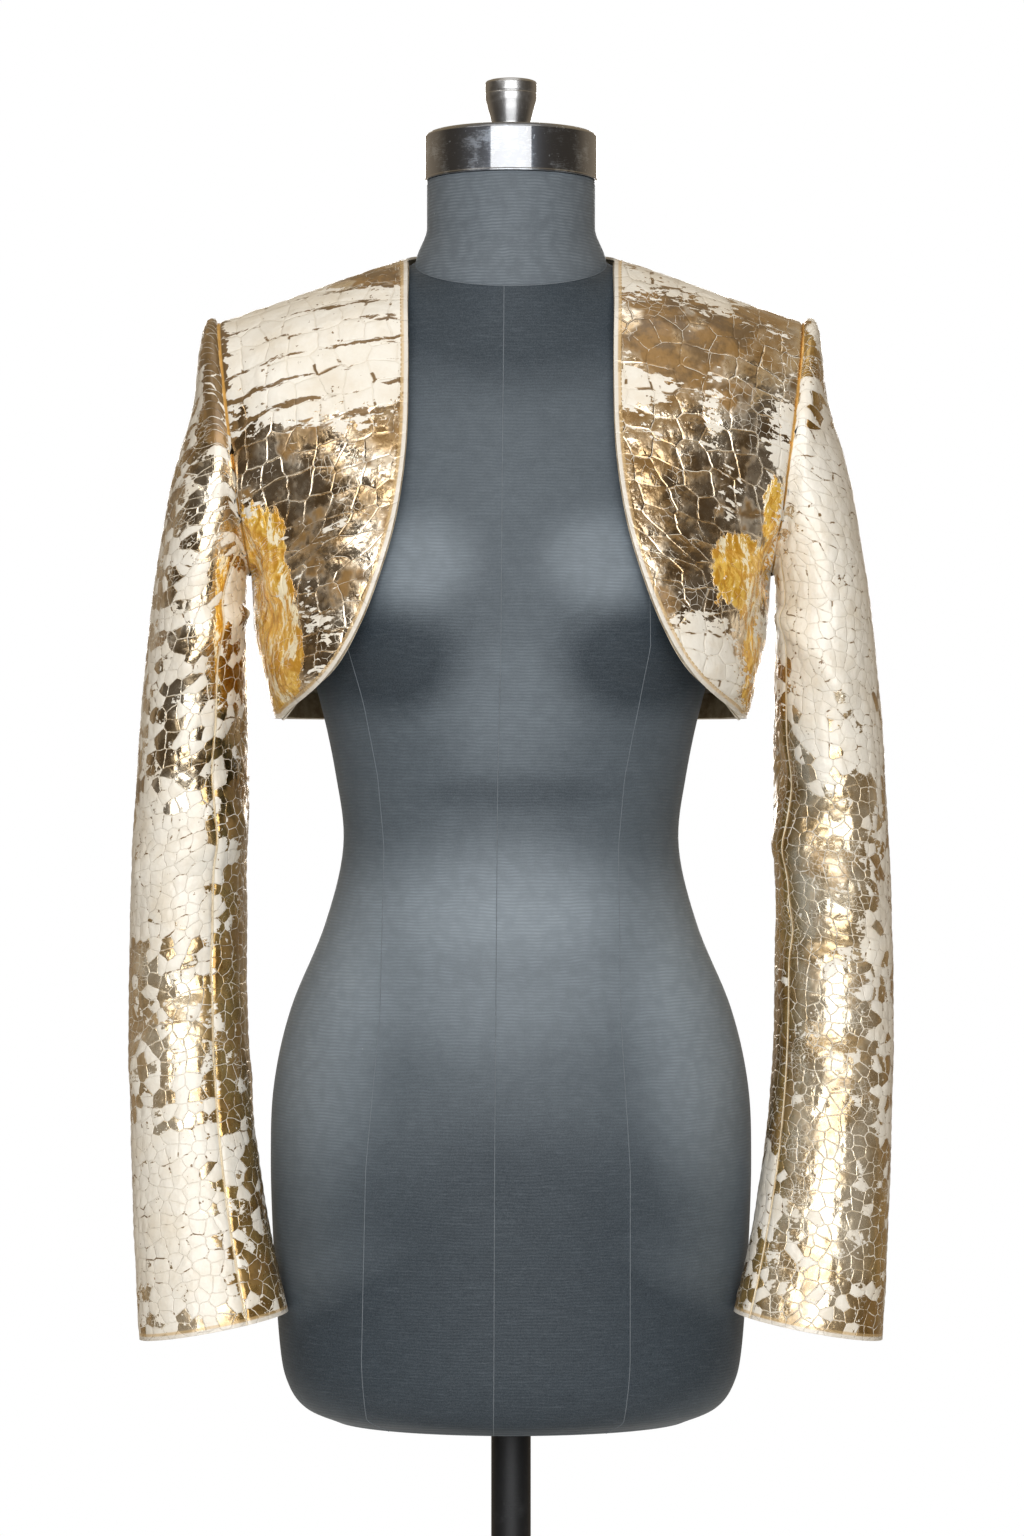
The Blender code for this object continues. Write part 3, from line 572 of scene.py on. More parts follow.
def back_rows(across: Array) -> Array:
    """Every table row of the back's left half, at the given shares of its width."""
    rows = [neckline_and_shoulder(across)]
    for index, row in enumerate(BACK_ROWS[1:], start=1):
        centre = np.array((0.0, row.centre_y, row.centre_z))
        side = side_point(float(index), front=False)
        rows.append(row_curve(centre, side, 0.0, row.turn_side, False, across))
    return np.array(rows)


def panel_points(rows: Array, before: Array, across: Array, down: Array, front: bool) -> Array:
    """The smooth surface of a front or half a back, before its folds.

    Args:
        rows: the points of its table rows.
        before: the row before the first.
        across: the shares of its width.
        down: the positions down its rows.
        front: whether it is a front.

    Returns:
        A grid of points, down by across.
    """
    side_rows = [side_point(float(index), front) for index in range(len(rows))]
    seam_before = side_point(1.0, not front)
    surface = []
    for position in down:
        miss = side_point(position, front) - through(side_rows, position, seam_before)
        surface.append(through(rows, position, before) + miss * (np.asarray(across)[:, None] ** 3))
    return np.array(surface)


def front_surface(across: Array, down: Array) -> Array:
    """The front without its folds, its slope carried over the shoulder."""
    behind = back_rows(NECK_SHARE + (1 - NECK_SHARE) * np.asarray(across))[1]
    return panel_points(front_rows(across), behind, across, down, front=True)


def back_surface(across: Array, down: Array) -> Array:
    """Half the back without its folds, smooth over the shoulder and free at the neckline."""
    rows = back_rows(across)
    shares = np.clip((np.asarray(across) - NECK_SHARE) / (1 - NECK_SHARE), 0.0, 1.0)
    ahead = front_rows(shares)[1]
    on_neckline = rows[0] + (rows[0] - rows[1])
    at_shoulder = ahead + rows[0] - neckline_and_shoulder(np.maximum(across, NECK_SHARE))
    mix = fade(np.asarray(across) / NECK_SHARE)[:, None]
    before = on_neckline * (1 - mix) + at_shoulder * mix
    return panel_points(rows, before, across, down, front=False)


def fold_height(folds: Sequence[Fold], scale: tuple[float, float], across: Array, down: Array) -> Array:
    """How far the folds lift a panel.

    Args:
        folds: the panel's folds.
        scale: the size in metres of one step across and one step down.
        across: positions across the panel.
        down: positions down it.

    Returns:
        A grid of heights in metres, down by across.
    """
    across, down = np.meshgrid(np.asarray(across) * scale[0], np.asarray(down) * scale[1])
    lift = np.zeros_like(across)
    for fold in folds:
        start = np.array((fold.across_start * scale[0], fold.down_start * scale[1]))
        end = np.array((fold.across_end * scale[0], fold.down_end * scale[1]))
        along = end - start
        share = ((across - start[0]) * along[0] + (down - start[1]) * along[1]) / (along @ along)
        share = np.clip(share, 0.0, 1.0)
        away = np.hypot(across - start[0] - along[0] * share, down - start[1] - along[1] * share)
        lift += fold.height * np.exp(-((away / fold.half_width) ** 2))
    return lift


def normals_of(surface: Surface, across: Array, down: Array, outward: float) -> Array:
    """Unit normals by small steps along a surface, kept within its own grid.

    Args:
        surface: gives points for positions across and down.
        across: positions across it.
        down: positions down it.
        outward: 1 or -1, to point them out of the jacket.

    Returns:
        A grid of normals.
    """
    low, high = across.min(), across.max()
    step = STEP * (high - low)
    along = surface(np.minimum(across + step, high), down) - surface(np.maximum(across - step, low), down)
    top, bottom = down.min(), down.max()
    step = STEP * (bottom - top)
    below = surface(across, np.minimum(down + step, bottom)) - surface(across, np.maximum(down - step, top))
    return unit(np.cross(along, below) * outward)


def folded_panel(
    surface: Surface, folds: Sequence[Fold], scale: tuple[float, float], across: Array, down: Array,
    outward: float
) -> Array:
    """A panel's outer points, with its folds let in away from its shared seams."""
    lift = fold_height(folds, scale, across, down)
    lift = lift * fade((1 - np.abs(across)) / FOLDS_CLEAR_OF_SIDE)[None, :]
    lift = lift * fade(down / FOLDS_CLEAR_OF_SHOULDER)[:, None]
    return surface(across, down) + lift[..., None] * normals_of(surface, across, down, outward)


def sleeve_points(angles: Array, down: Array) -> Array:
    """The sleeve's plain surface.

    Args:
        angles: degrees round the arm, one row of them for each position.
        down: positions down the sleeve's rings.

    Returns:
        A grid of points.
    """
    points = []
    for row, position in zip(angles, down):
        ring = SleeveRing(*through(SLEEVE_RINGS, position))
        outer = np.array((ring.outer_x, ring.middle_y, ring.outer_z))
        inner = np.array((ring.inner_x, ring.middle_y, ring.inner_z))
        turn = np.radians(row)[:, None]
        depth = np.array((0.0, ring.half_depth, 0.0))
        points.append((outer + inner) / 2 + (outer - inner) / 2 * np.cos(turn) - depth * np.sin(turn))
    return np.array(points)


def sleeve_normals(angles: Array, down: Array) -> Array:
    """Normals of the sleeve's plain surface, pointing out."""
    along = sleeve_points(angles - STEP_ANGLE, down) - sleeve_points(angles + STEP_ANGLE, down)
    above = np.maximum(down - STEP_DOWN, 0.0)
    under = np.minimum(down + STEP_DOWN, len(SLEEVE_RINGS) - 1.0)
    return unit(np.cross(sleeve_points(angles, under) - sleeve_points(angles, above), along))


def folded_sleeve(folds: Sequence[Fold], angles: Array, down: Array) -> Array:
    """A sleeve's outer points with its folds, the same whichever of its two pieces asks."""
    lift = np.zeros_like(angles)
    for index, (row, position) in enumerate(zip(angles, down)):
        for whole_turn in (-360.0, 0.0, 360.0):
            lift[index] += fold_height(folds, SLEEVE_SCALE, row + whole_turn, [position])[0]
    first, length = FOLDS_CLEAR_OF_CAP
    lift = lift * fade((down - first) / length)[:, None]
    return sleeve_points(angles, down) + lift[..., None] * sleeve_normals(angles, down)


def form_rings(positions: Array, turn: Array) -> Array:
    """Rings of the torso.

    Args:
        positions: positions down the torso's table.
        turn: angles round it, in radians from +X towards +Y.

    Returns:
        A grid of points, one row for each position.
    """
    wave = np.sin(turn)
    size = np.abs(wave)
    rings = []
    for position in positions:
        ring = FormRing(*through(FORM_RINGS, position))
        level = fade(1 - position)
        fall_front = (ring.side_z - ring.front_z) * (level * size + (1 - level) * size**FRONT_FALL)
        fall_back = (ring.side_z - ring.back_z) * (level * size + (1 - level) * size**BACK_FALL)
        heights = ring.side_z - np.where(wave < 0, fall_front, fall_back)
        widths = ring.half_width * np.cos(turn)
        depths = (ring.back - ring.front) / 2 + (ring.back + ring.front) / 2 * wave
        apart = np.hypot(np.abs(widths) - BUST_HALF_SPREAD, heights - BUST_HEIGHT) / BUST_RADIUS
        depths = depths - BUST_RISE * np.exp(-(apart**2)) * fade(-wave * 2)
        rings.append(np.stack([widths, depths, heights], axis=-1))
    return np.array(rings)


def patch_amount(points: Array, patches: Sequence[WornPatch]) -> Array:
    """How much a list of patches adds at each point."""
    total = np.zeros(points.shape[:-1])
    for patch in patches:
        across = (points[..., 0] - patch.x) / patch.reach_x
        away = np.hypot(across, (points[..., 2] - patch.z) / patch.reach_z)
        total += patch.amount * fade(PATCH_EDGE - away)
    return total


def worn_amount(points: Array) -> Array:
    """How far the foil is worn at each point: below 0 it is kept, above 0 the cream leather shows."""
    behind = fade((points[..., 1] - 0.010) / 0.030)
    front = patch_amount(points, WORN_FRONT) * (1 - behind)
    return WORN_START + front + patch_amount(points, WORN_BACK) * behind


def front_amount(points: Array, patches: Sequence[WornPatch]) -> Array:
    """How much a list of patches on the front adds at each point, from 0 up."""
    return patch_amount(points, patches) * (1 - fade((points[..., 1] - 0.020) / 0.040))


def deselect_all() -> None:
    """Leaves nothing selected, in object mode."""
    if bpy.context.mode != "OBJECT":
        bpy.ops.object.mode_set(mode="OBJECT")
    bpy.ops.object.select_all(action="DESELECT")


def take(piece: Piece) -> None:
    """Makes one object the only selected and the active one."""
    deselect_all()
    piece.select_set(True)
    bpy.context.view_layer.objects.active = piece


def placed(name: str, data: bpy.types.ID) -> Piece:
    """A new object in the scene."""
    piece = bpy.data.objects.new(name, data)
    bpy.context.scene.collection.objects.link(piece)
    return piece


def close_ends() -> None:
    """Fills the open ends of the mesh in edit mode, faces it outwards and leaves edit mode."""
    bpy.ops.mesh.select_all(action="DESELECT")
    bpy.ops.mesh.select_mode(type="EDGE")
    bpy.ops.mesh.select_non_manifold()
    bpy.ops.mesh.fill_holes(sides=0)
    bpy.ops.mesh.select_all(action="SELECT")
    bpy.ops.mesh.normals_make_consistent(inside=False)
    bpy.ops.object.mode_set(mode="OBJECT")


def bevelled(piece: Piece, width: float, segments: int, degrees: float) -> bpy.types.BevelModifier:
    """A rounding of a piece's sharp edges, not yet applied."""
    rounded = piece.modifiers.new("Rounded edge", "BEVEL")
    rounded.width = width
    rounded.segments = segments
    rounded.limit_method = "ANGLE"
    rounded.angle_limit = math.radians(degrees)
    return rounded


def apply_modifiers(piece: Piece) -> None:
    """Applies every modifier of a piece, in order."""
    take(piece)
    for modifier in list(piece.modifiers):
        bpy.ops.object.modifier_apply(modifier=modifier.name)


def grid_piece(name: str, points: Array, outward: Array) -> Piece:
    """A plain grid, added as a primitive and moved point by point onto a surface.

    Args:
        name: the new object's name.
        points: a grid of points, rows by columns by 3.
        outward: roughly where its middle face looks.

    Returns:
        The new object, its faces looking that way.
    """
    rows, columns = points.shape[:2]
    deselect_all()
    bpy.ops.mesh.primitive_grid_add(x_subdivisions=columns - 1, y_subdivisions=rows - 1, size=1.0)
    piece = bpy.context.object
    piece.name = name
    piece.data.name = name
    piece.data.vertices.foreach_set("co", points.astype(np.float32).ravel())
    middle = (rows // 2) * (columns - 1) + columns // 2
    if np.dot(piece.data.polygons[middle].normal, outward) < 0:
        piece.data.flip_normals()
    piece.data.update()
    return piece


def add_attribute(piece: Piece, name: str, values: Array) -> None:
    """Stores one number or vector for each point of a piece.

    Args:
        piece: the piece, its points in the order of the values.
        name: the attribute's name, which materials read.
        values: a grid of numbers, or of vectors of three.
    """
    is_vector = values.ndim == 3
    attribute = piece.data.attributes.new(name, "FLOAT_VECTOR" if is_vector else "FLOAT", "POINT")
    attribute.data.foreach_set("vector" if is_vector else "value", values.astype(np.float32).ravel())


def operator(operation: str, swapped: bool = False) -> Callable:
    """An operator of Value that adds one Math node, with its numbers the other way round if swapped."""

    def method(first: "Value", second: object) -> "Value":
        """The operation's result."""
        return first.bench.math(operation, *((second, first) if swapped else (first, second)))

    return method


@dataclass(frozen=True)
class Value:
    """A node's output. Arithmetic on it adds Math nodes, and | takes the larger of two numbers."""

    bench: "NodeBench"
    socket: bpy.types.NodeSocket

    __add__ = operator("ADD")
    __sub__ = operator("SUBTRACT")
    __rsub__ = operator("SUBTRACT", swapped=True)
    __mul__ = operator("MULTIPLY")
    __or__ = operator("MAXIMUM")

    def beside(self, output: str | int) -> "Value":
        """Another output of the same node."""
        return Value(self.bench, self.socket.node.outputs[output])


@dataclass
class NodeBench:
    """Adds nodes to one tree, a material's or a geometry modifier's, and joins them up."""

    tree: bpy.types.NodeTree

    def put(self, socket: bpy.types.NodeSocket, value: object) -> None:
        """Joins an output to a socket, or sets a plain value on it."""
        if isinstance(value, Value):
            self.tree.links.new(value.socket, socket)
        else:
            socket.default_value = value

    def made(self, kind: str, inputs: dict | None = None, output: str | int = 0, **settings: object) -> Value:
        """A new node.

        Args:
            kind: the node's kind.
            inputs: what goes into its inputs, by their names or numbers.
            output: the output to read.
            settings: the node's own settings.

        Returns:
            That output.
        """
        node = self.tree.nodes.new(kind)
        for name, value in settings.items():
            setattr(node, name, value)
        for name, value in (inputs or {}).items():
            self.put(node.inputs[name], value)
        return Value(self, node.outputs[output])

    def math(self, operation: str, first: object, second: object = 0.0, clamp: bool = False) -> Value:
        """The result of a Math node on one or two numbers."""
        return self.made("ShaderNodeMath", {0: first, 1: second}, operation=operation, use_clamp=clamp)

    def scaled(self, vector: object, scale: object) -> Value:
        """A vector times a number."""
        return self.made("ShaderNodeVectorMath", {0: vector, "Scale": scale}, operation="SCALE")

    def vector(self, operation: str, first: object, second: object) -> Value:
        """The result of a Vector Math node on two vectors."""
        return self.made("ShaderNodeVectorMath", {0: first, 1: second}, operation=operation)

    def stretched(self, vector: object, *scales: float) -> Value:
        """A vector with each of its three numbers scaled."""
        return self.vector("MULTIPLY", vector, scales)

    def noise(
        self, vector: object, scale: float, detail: float = 2.0, roughness: float = 0.5, output: int = 0
    ) -> Value:
        """A noise's number, or its colour as output 1."""
        inputs = {"Vector": vector, "Scale": scale, "Detail": detail, "Roughness": roughness}
        return self.made("ShaderNodeTexNoise", inputs, output)

    def step(self, value: object, low: object, high: object) -> Value:
        """A smooth step: 0 below low and 1 above high."""
        inputs = {"Value": value, "From Min": low, "From Max": high}
        return self.made("ShaderNodeMapRange", inputs, interpolation_type="SMOOTHSTEP")

    def between(self, factor: object, first: object, second: object) -> Value:
        """A number between two others."""
        return self.made("ShaderNodeMix", {0: factor, 2: first, 3: second}, data_type="FLOAT")

    def colour(self, factor: object, first: object, second: object, blend: str = "MIX") -> Value:
        """A colour mixed from two others."""
        first, second = ((*one, 1.0) if isinstance(one, tuple) else one for one in (first, second))
        inputs = {0: factor, 6: first, 7: second}
        return self.made("ShaderNodeMix", inputs, 2, data_type="RGBA", blend_type=blend)

    def attribute(self, name: str, kind: str = "FLOAT") -> Value:
        """A piece's own attribute, in a material or in a geometry modifier."""
        if self.tree.type == "GEOMETRY":
            read = self.made("GeometryNodeInputNamedAttribute", {"Name": name}, data_type=kind)
            outputs = read.socket.node.outputs
            return Value(self, next(out for out in outputs if out.enabled and out.name == "Attribute"))
        output = "Fac" if kind == "FLOAT" else "Vector"
        return self.made("ShaderNodeAttribute", {}, output, attribute_type="GEOMETRY", attribute_name=name)

    def voronoi(self, vector: object, feature: str, randomness: object, output: str) -> Value:
        """A flat Voronoi's output, one cell to each unit."""
        inputs = {"Vector": vector, "Scale": 1.0, "Randomness": randomness}
        return self.made("ShaderNodeTexVoronoi", inputs, output, voronoi_dimensions="2D", feature=feature)

    def parts(self, vector: object) -> tuple[Value, Value, Value]:
        """A vector's three numbers."""
        first = self.made("ShaderNodeSeparateXYZ", {0: vector})
        return first, first.beside(1), first.beside(2)

    def red(self, colour: object) -> Value:
        """A colour's first number."""
        maker = "ShaderNode" if self.tree.type == "SHADER" else "FunctionNode"
        return self.made(maker + "SeparateColor", {0: colour})

    def bump(self, height: object, distance: float, strength: float, under: Value | None = None) -> Value:
        """A normal bent by a height.

        Args:
            height: the height, from 0 to 1.
            distance: what a height of 1 is in metres.
            strength: the share of it that shows.
            under: another bump's normal that this one lies on.

        Returns:
            The normal.
        """
        inputs = {"Strength": strength, "Distance": distance, "Height": height}
        return self.made("ShaderNodeBump", inputs | ({"Normal": under} if under else {}))

    def shade(self, **inputs: object) -> None:
        """Sets inputs of the material's Principled shader, named with _ for each space."""
        for name, value in inputs.items():
            self.put(self.tree.nodes["Principled BSDF"].inputs[name.replace("_", " ")], value)


@dataclass(frozen=True)
class ScalePattern:
    """The embossed scales: irregular cells that both the relief and the finish read."""

    warp: float = 0.30
    groove: float = 0.17

    def cells(self, bench: NodeBench) -> tuple[Value, Value, Value]:
        """The pattern, from a piece's own pattern attribute.

        Args:
            bench: the tree to build it in.

        Returns:
            The distance to the nearest groove, a random number for each scale, and the warped place.
        """
        place = bench.attribute("pattern", "FLOAT_VECTOR")
        randomness = bench.parts(place)[2]
        centred = bench.vector("SUBTRACT", bench.noise(place, 0.55, 3.0, 0.55, output=1), (0.5, 0.5, 0.5))
        warped = bench.vector("ADD", place, bench.scaled(centred, self.warp * 2))
        edge = bench.voronoi(warped, "DISTANCE_TO_EDGE", randomness, "Distance")
        return edge, bench.red(bench.voronoi(warped, "F1", randomness, "Color")), warped


@dataclass(frozen=True)
class Relief:
    """Raises the scales on a leather panel, and sinks its seams and its stitching."""

    pattern: ScalePattern
    depth: float = 0.00024
    crown: float = 0.00022
    lean: float = 0.00014
    sway: float = 0.0006
    seam_depth: float = 0.0010
    seam_width: float = 0.0016
    stitch_depth: float = 0.00035

    def height(self, bench: NodeBench, stitched: bool) -> Value:
        """How far each point moves along its normal."""
        seam, edge = bench.attribute("seam"), bench.attribute("edge")
        groove, tint, _ = self.pattern.cells(bench)
        position = bench.made("GeometryNodeInputPosition")
        dome = bench.step(groove, 0.05, 0.5) * self.crown
        height = (bench.step(groove, 0.0, self.pattern.groove) - 1.0) * self.depth
        height = height + (dome + (tint - 0.5) * self.lean)
        height = height + (bench.noise(position, 21.0) - 0.5) * (self.sway * 3.2)
        height = height + (bench.noise(position, 75.0) - 0.5) * (self.sway * 1.3)
        height = height * (bench.step(seam, 0.0005, 0.007) * bench.step(edge, 0.004, 0.009))
        height = height - bench.step(seam, self.seam_width * 2, 0.0) * self.seam_depth
        if stitched:
            off_line = bench.math("ABSOLUTE", edge - STITCH_INSET)
            height = height - bench.step(off_line, 0.0011, 0.0) * self.stitch_depth
        return height

    def apply(self, piece: Piece, stitched: bool) -> None:
        """Moves the points of a panel along its normals.

        Args:
            piece: the panel, with its pattern, seam and edge attributes.
            stitched: whether a line of stitching runs inside its free edges.
        """
        tree = bpy.data.node_groups.new("Scale relief", "GeometryNodeTree")
        for way in ("INPUT", "OUTPUT"):
            tree.interface.new_socket("Geometry", in_out=way, socket_type="NodeSocketGeometry")
        bench = NodeBench(tree)
        move = bench.scaled(bench.made("GeometryNodeInputNormal"), self.height(bench, stitched))
        inputs = {"Geometry": bench.made("NodeGroupInput"), "Offset": move}
        moved = bench.made("GeometryNodeSetPosition", inputs)
        bench.put(tree.nodes.new("NodeGroupOutput").inputs[0], moved)
        piece.modifiers.new("Scale relief", "NODES").node_group = tree
        apply_modifiers(piece)
        bpy.data.node_groups.remove(tree)


@dataclass(frozen=True)
class Finish:
    """A material whose Principled shader each kind of finish sets in its own way."""

    name: str

    def paint(self, bench: NodeBench, place: Value) -> None:
        """Sets the shader's inputs, from the place on the object."""
        raise NotImplementedError

    def material(self) -> bpy.types.Material:
        """The finish as a new material."""
        material = bpy.data.materials.new(self.name)
        material.use_nodes = True
        bench = NodeBench(material.node_tree)
        self.paint(bench, bench.made("ShaderNodeTexCoord", output="Object"))
        return material


class Ground(NamedTuple):
    """What the foil reads at a point: where it is on the object and in the pattern, and 1 on a sleeve."""

    place: Value
    groove: Value
    tint: Value
    warped: Value
    column: Value
    on_sleeve: Value


def sleeve_share(bench: NodeBench, kind: Value) -> Value:
    """1 on a sleeve and 0 elsewhere, from the scales' unevenness in the pattern."""
    return bench.step(kind, BODY_UNEVEN + 0.05, SLEEVE_UNEVEN - 0.05)


@dataclass(frozen=True)
class FoiledLeather(Finish):
    """Cream leather embossed with scales, under gold foil that is cracked and worn away in patches."""

    pattern: ScalePattern
    cream: Colour = (0.83, 0.80, 0.725)
    cream_shade: Colour = (0.75, 0.685, 0.57)
    foil: Colour = (0.90, 0.81, 0.665)
    foil_deep: Colour = (0.53, 0.37, 0.195)
    sleeve_foil: Colour = (0.90, 0.83, 0.70)
    sleeve_deep: Colour = (0.56, 0.43, 0.26)
    pearl: Colour = (0.88, 0.78, 0.60)
    pearl_deep: Colour = (0.56, 0.41, 0.22)
    # Painted shade: the tint that darkens the foil on the sleeves' sides.
    side_shade_tint: Colour = (0.58, 0.44, 0.20)
    size_layer: Colour = (0.30, 0.175, 0.06)
    size_dark: Colour = (0.17, 0.105, 0.045)
    amber: Colour = (1.0, 0.64, 0.12)
    amber_deep: Colour = (0.70, 0.35, 0.03)
    amber_pale: Colour = (0.95, 0.86, 0.62)
    seam: Colour = (0.70, 0.42, 0.12)
    sleeve_seam: Colour = (0.80, 0.70, 0.50)
    band: Colour = (0.62, 0.44, 0.22)
    rim: Colour = (0.72, 0.68, 0.61)

    def bare_share(self, bench: NodeBench, at: Ground) -> Value:
        """Where the foil has come off, torn along the scales, in streaks across them and in small flakes."""
        noise, between = bench.noise, bench.between
        streaks = bench.stretched(at.warped, 0.34, 1.0, 1.0)
        flakes = bench.stretched(at.warped, 0.55, 1.25, 1.0)
        amount = bench.attribute("worn") - bench.attribute("amber") * 0.4
        for part, share in (
            (noise(at.place, 15.0, 6.0, 0.6), between(at.on_sleeve, 2.1, 1.3)),
            (noise(at.place, 95.0, 5.0, 0.65), 1.5),
            (noise(streaks, 1.15, 5.0, 0.62), between(at.on_sleeve, 2.2, 0.3)),
            (noise(flakes, 4.2, 3.0, 0.55), between(at.on_sleeve, 2.4, 0.5)),
            (at.tint, between(at.on_sleeve, 0.35, 1.50)),
        ):
            amount = amount + (part - 0.5) * share
        return bench.step(amount, -0.02, 0.02)

    def foil_share(self, bench: NodeBench, at: Ground) -> tuple[Value, Value]:
        """Where foil is left, in sheets cracked at the grooves and as remains, and where the sheet is off."""
        step, noise, between = bench.step, bench.noise, bench.between
        bare = self.bare_share(bench, at)
        lines = noise(at.place, 85.0, 4.0, 0.65)
        width = (lines - 0.34) * between(at.on_sleeve, 0.045, 0.17)
        crack = step(at.groove, width, width * 0.6)
        crack = crack * step(lines + between(at.on_sleeve, -0.055, 0.03), 0.40, 0.43)
        crack = crack * (1.0 - step(bench.attribute("amber"), 0.15, 0.5))
        swirl = bench.scaled(noise(at.place, 45.0, 3.0, output=1), 1.3)
        shattered = bench.vector("ADD", bench.scaled(at.warped, 2.7), swirl)
        width = between(at.on_sleeve, 0.024, 0.038)
        splinter = step(bench.voronoi(shattered, "DISTANCE_TO_EDGE", 0.95, "Distance"), width, width * 0.4)
        splinter = splinter * step(noise(at.place, 26.0, 4.0, 0.7), 0.51, 0.58)
        chips = noise(at.place, 170.0, 4.0, 0.62)
        broken = crack | splinter | step(chips + between(at.on_sleeve, -0.035, 0.0), 0.66, 0.68)

        remains = noise(bench.stretched(at.warped, 0.40, 1.0, 1.0), 1.6, 5.0, 0.65)
        kept = step(at.groove, remains * 0.13, 0.03) * step(remains, 0.57, 0.61)
        row = bench.math("PINGPONG", bench.parts(at.warped)[1] + 0.25, 0.5)
        row_keep = noise(bench.stretched(at.warped, 0.22, 1.0, 1.0), 2.3, 7.0, 0.70)
        row_keep = row_keep - step(bench.attribute("worn"), 0.0, 1.0) * 0.085
        width = (row_keep - 0.37) * ((chips - 0.15) * 2.4)
        row_line = step(row, width, width * 0.8) * (1.0 - at.on_sleeve)
        row_line = row_line * step(at.column, *LEFT_FRONT_END) * step(row_keep, 0.43, 0.45)
        kept = kept | row_line | step(chips, 0.325, 0.31)
        return bench.math("ADD", (1.0 - bare) * (1.0 - broken), kept * bare, clamp=True), bare

    def paint(self, bench: NodeBench, place: Value) -> None:
        """The finish of the panels' outside."""
        step, noise, colour, between = bench.step, bench.noise, bench.colour, bench.between
        groove, tint, warped = self.pattern.cells(bench)
        column, _, kind = bench.parts(bench.attribute("pattern", "FLOAT_VECTOR"))
        on_sleeve = sleeve_share(bench, kind)
        foil, bare = self.foil_share(bench, Ground(place, groove, tint, warped, column, on_sleeve))

        mottle = noise(place, 42.0, 5.0, 0.65)
        cream = colour(step(mottle, 0.35, 0.80), self.cream, self.cream_shade)
        cream = colour(step(groove, 0.05, 0.0) * 0.5, cream, self.cream_shade)
        patina = step(noise(place, 24.0, 6.0, 0.68), 0.38, 0.62)
        gold = colour(patina, self.foil, self.foil_deep)
        gold = colour(on_sleeve, gold, colour(patina, self.sleeve_foil, self.sleeve_deep))
        pearly = (step(column, *LEFT_SLEEVE_END) | step(bench.parts(place)[2], 1.02, 0.92)) * on_sleeve
        gold = colour(pearly, gold, colour(patina, self.pearl, self.pearl_deep))
        # Painted shade: the foil is darkened and made more golden where the sleeves turn away from the front,
        # beside the front seam and round the outer side, and over the whole under sleeve.
        round_sleeve = bench.math("MODULO", column + 30.0, SLEEVE_PITCH)
        side_shade_mask = step(round_sleeve, 2.0, 0.2) | step(round_sleeve, 6.0, 9.5)
        gold = colour(side_shade_mask * on_sleeve, gold, self.side_shade_tint, "MULTIPLY")

        dull = bench.attribute("matt")
        matt = step(noise(place, 34.0, 3.0, 0.55) + dull * 0.22, 0.56, 0.66)
        matt = matt * between(on_sleeve, 1.0, between(pearly, 0.9, 0.5)) | bare * foil
        size_layer = colour(step(noise(place, 70.0, 5.0, 0.65), 0.40, 0.62), self.size_layer, self.size_dark)
        size_layer = colour(step(dull, 1.1, 1.5) | bare * 0.7, size_layer, self.size_dark)
        gold = colour(matt, gold, size_layer)

        swirled = bench.vector("ADD", place, bench.scaled(noise(place, 26.0, 3.0, output=1), 0.022))
        grain = noise(bench.stretched(swirled, 1.0, 1.0, 0.30), 190.0, 5.0, 0.7)
        pale = step(grain + (mottle - 0.5) * 0.6, 0.465, 0.415)
        yellow = colour(step(grain, 0.45, 0.58), self.amber, self.amber_deep)
        yellow = colour(pale, yellow, self.amber_pale)
        amber_level = bench.attribute("amber") + (patina - 0.5) * 0.45
        in_amber = step(amber_level + (grain - 0.5), 0.38, 0.54)
        base = colour(foil, cream, colour(in_amber, gold, yellow))

        seam, edge = bench.attribute("seam"), bench.attribute("edge")
        on_seam = step(seam, between(on_sleeve, 0.0022, 0.0012), between(on_sleeve, 0.0006, 0.0003))
        base = colour(on_seam, base, colour(on_sleeve, self.seam, self.sleeve_seam))
        on_band = step(edge, 0.0050, 0.0040) * 0.75
        rim = step(edge, 0.0032, 0.0020)
        base = colour(rim, colour(on_band, base, self.band), self.rim)
        metal = foil
        for off in (on_band * 0.7, in_amber * 0.62, pale * in_amber * 0.85, pearly * 0.26, matt * 0.75, rim):
            metal = metal * (1.0 - off)
        rough = between(step(noise(place, 55.0, 6.0, 0.7), 0.35, 0.70), 0.13, 0.40)
        rough = between(in_amber, between(matt, rough, 0.42), 0.20)
        rough = between(foil, between(mottle, 0.26, 0.46), rough)

        normal = None
        for height, distance, strength in (
            (step(groove, 0.0, 0.06), 0.00035, 0.8),
            (noise(place, 55.0, 3.0, 0.55), 0.0050, 0.40),
            (noise(bench.stretched(place, 1.0, 1.0, 0.45), 160.0, 3.0, 0.55), 0.0012, 0.38),
            (noise(place, 900.0, 2.0, 0.6), 0.00012, 0.5),
            (grain * in_amber, 0.0016, 0.6),
            (foil, 0.00006, 0.4),
        ):
            normal = bench.bump(height, distance, strength, normal)
        bench.shade(Base_Color=base, Metallic=metal, Roughness=rough, Normal=normal)
        bench.shade(Coat_Weight=0.35, Coat_Roughness=0.16)


@dataclass(frozen=True)
class PlainLeather(Finish):
    """Leather with little foil left: the facings, and the cut edge of a panel."""

    colour: Colour
    shade: Colour
    roughness: float
    metallic: float = 0.0

    def paint(self, bench: NodeBench, place: Value) -> None:
        """The finish, with grain and uneven wear."""
        wear = bench.noise(place, 70.0, 6.0, 0.65)
        bench.shade(
            Base_Color=bench.colour(bench.step(wear, 0.35, 0.65), self.colour, self.shade),
            Metallic=self.metallic, Roughness=bench.between(wear, self.roughness, self.roughness + 0.2),
            Normal=bench.bump(bench.noise(place, 480.0, 4.0, 0.6), 0.0006, 0.5)
        )


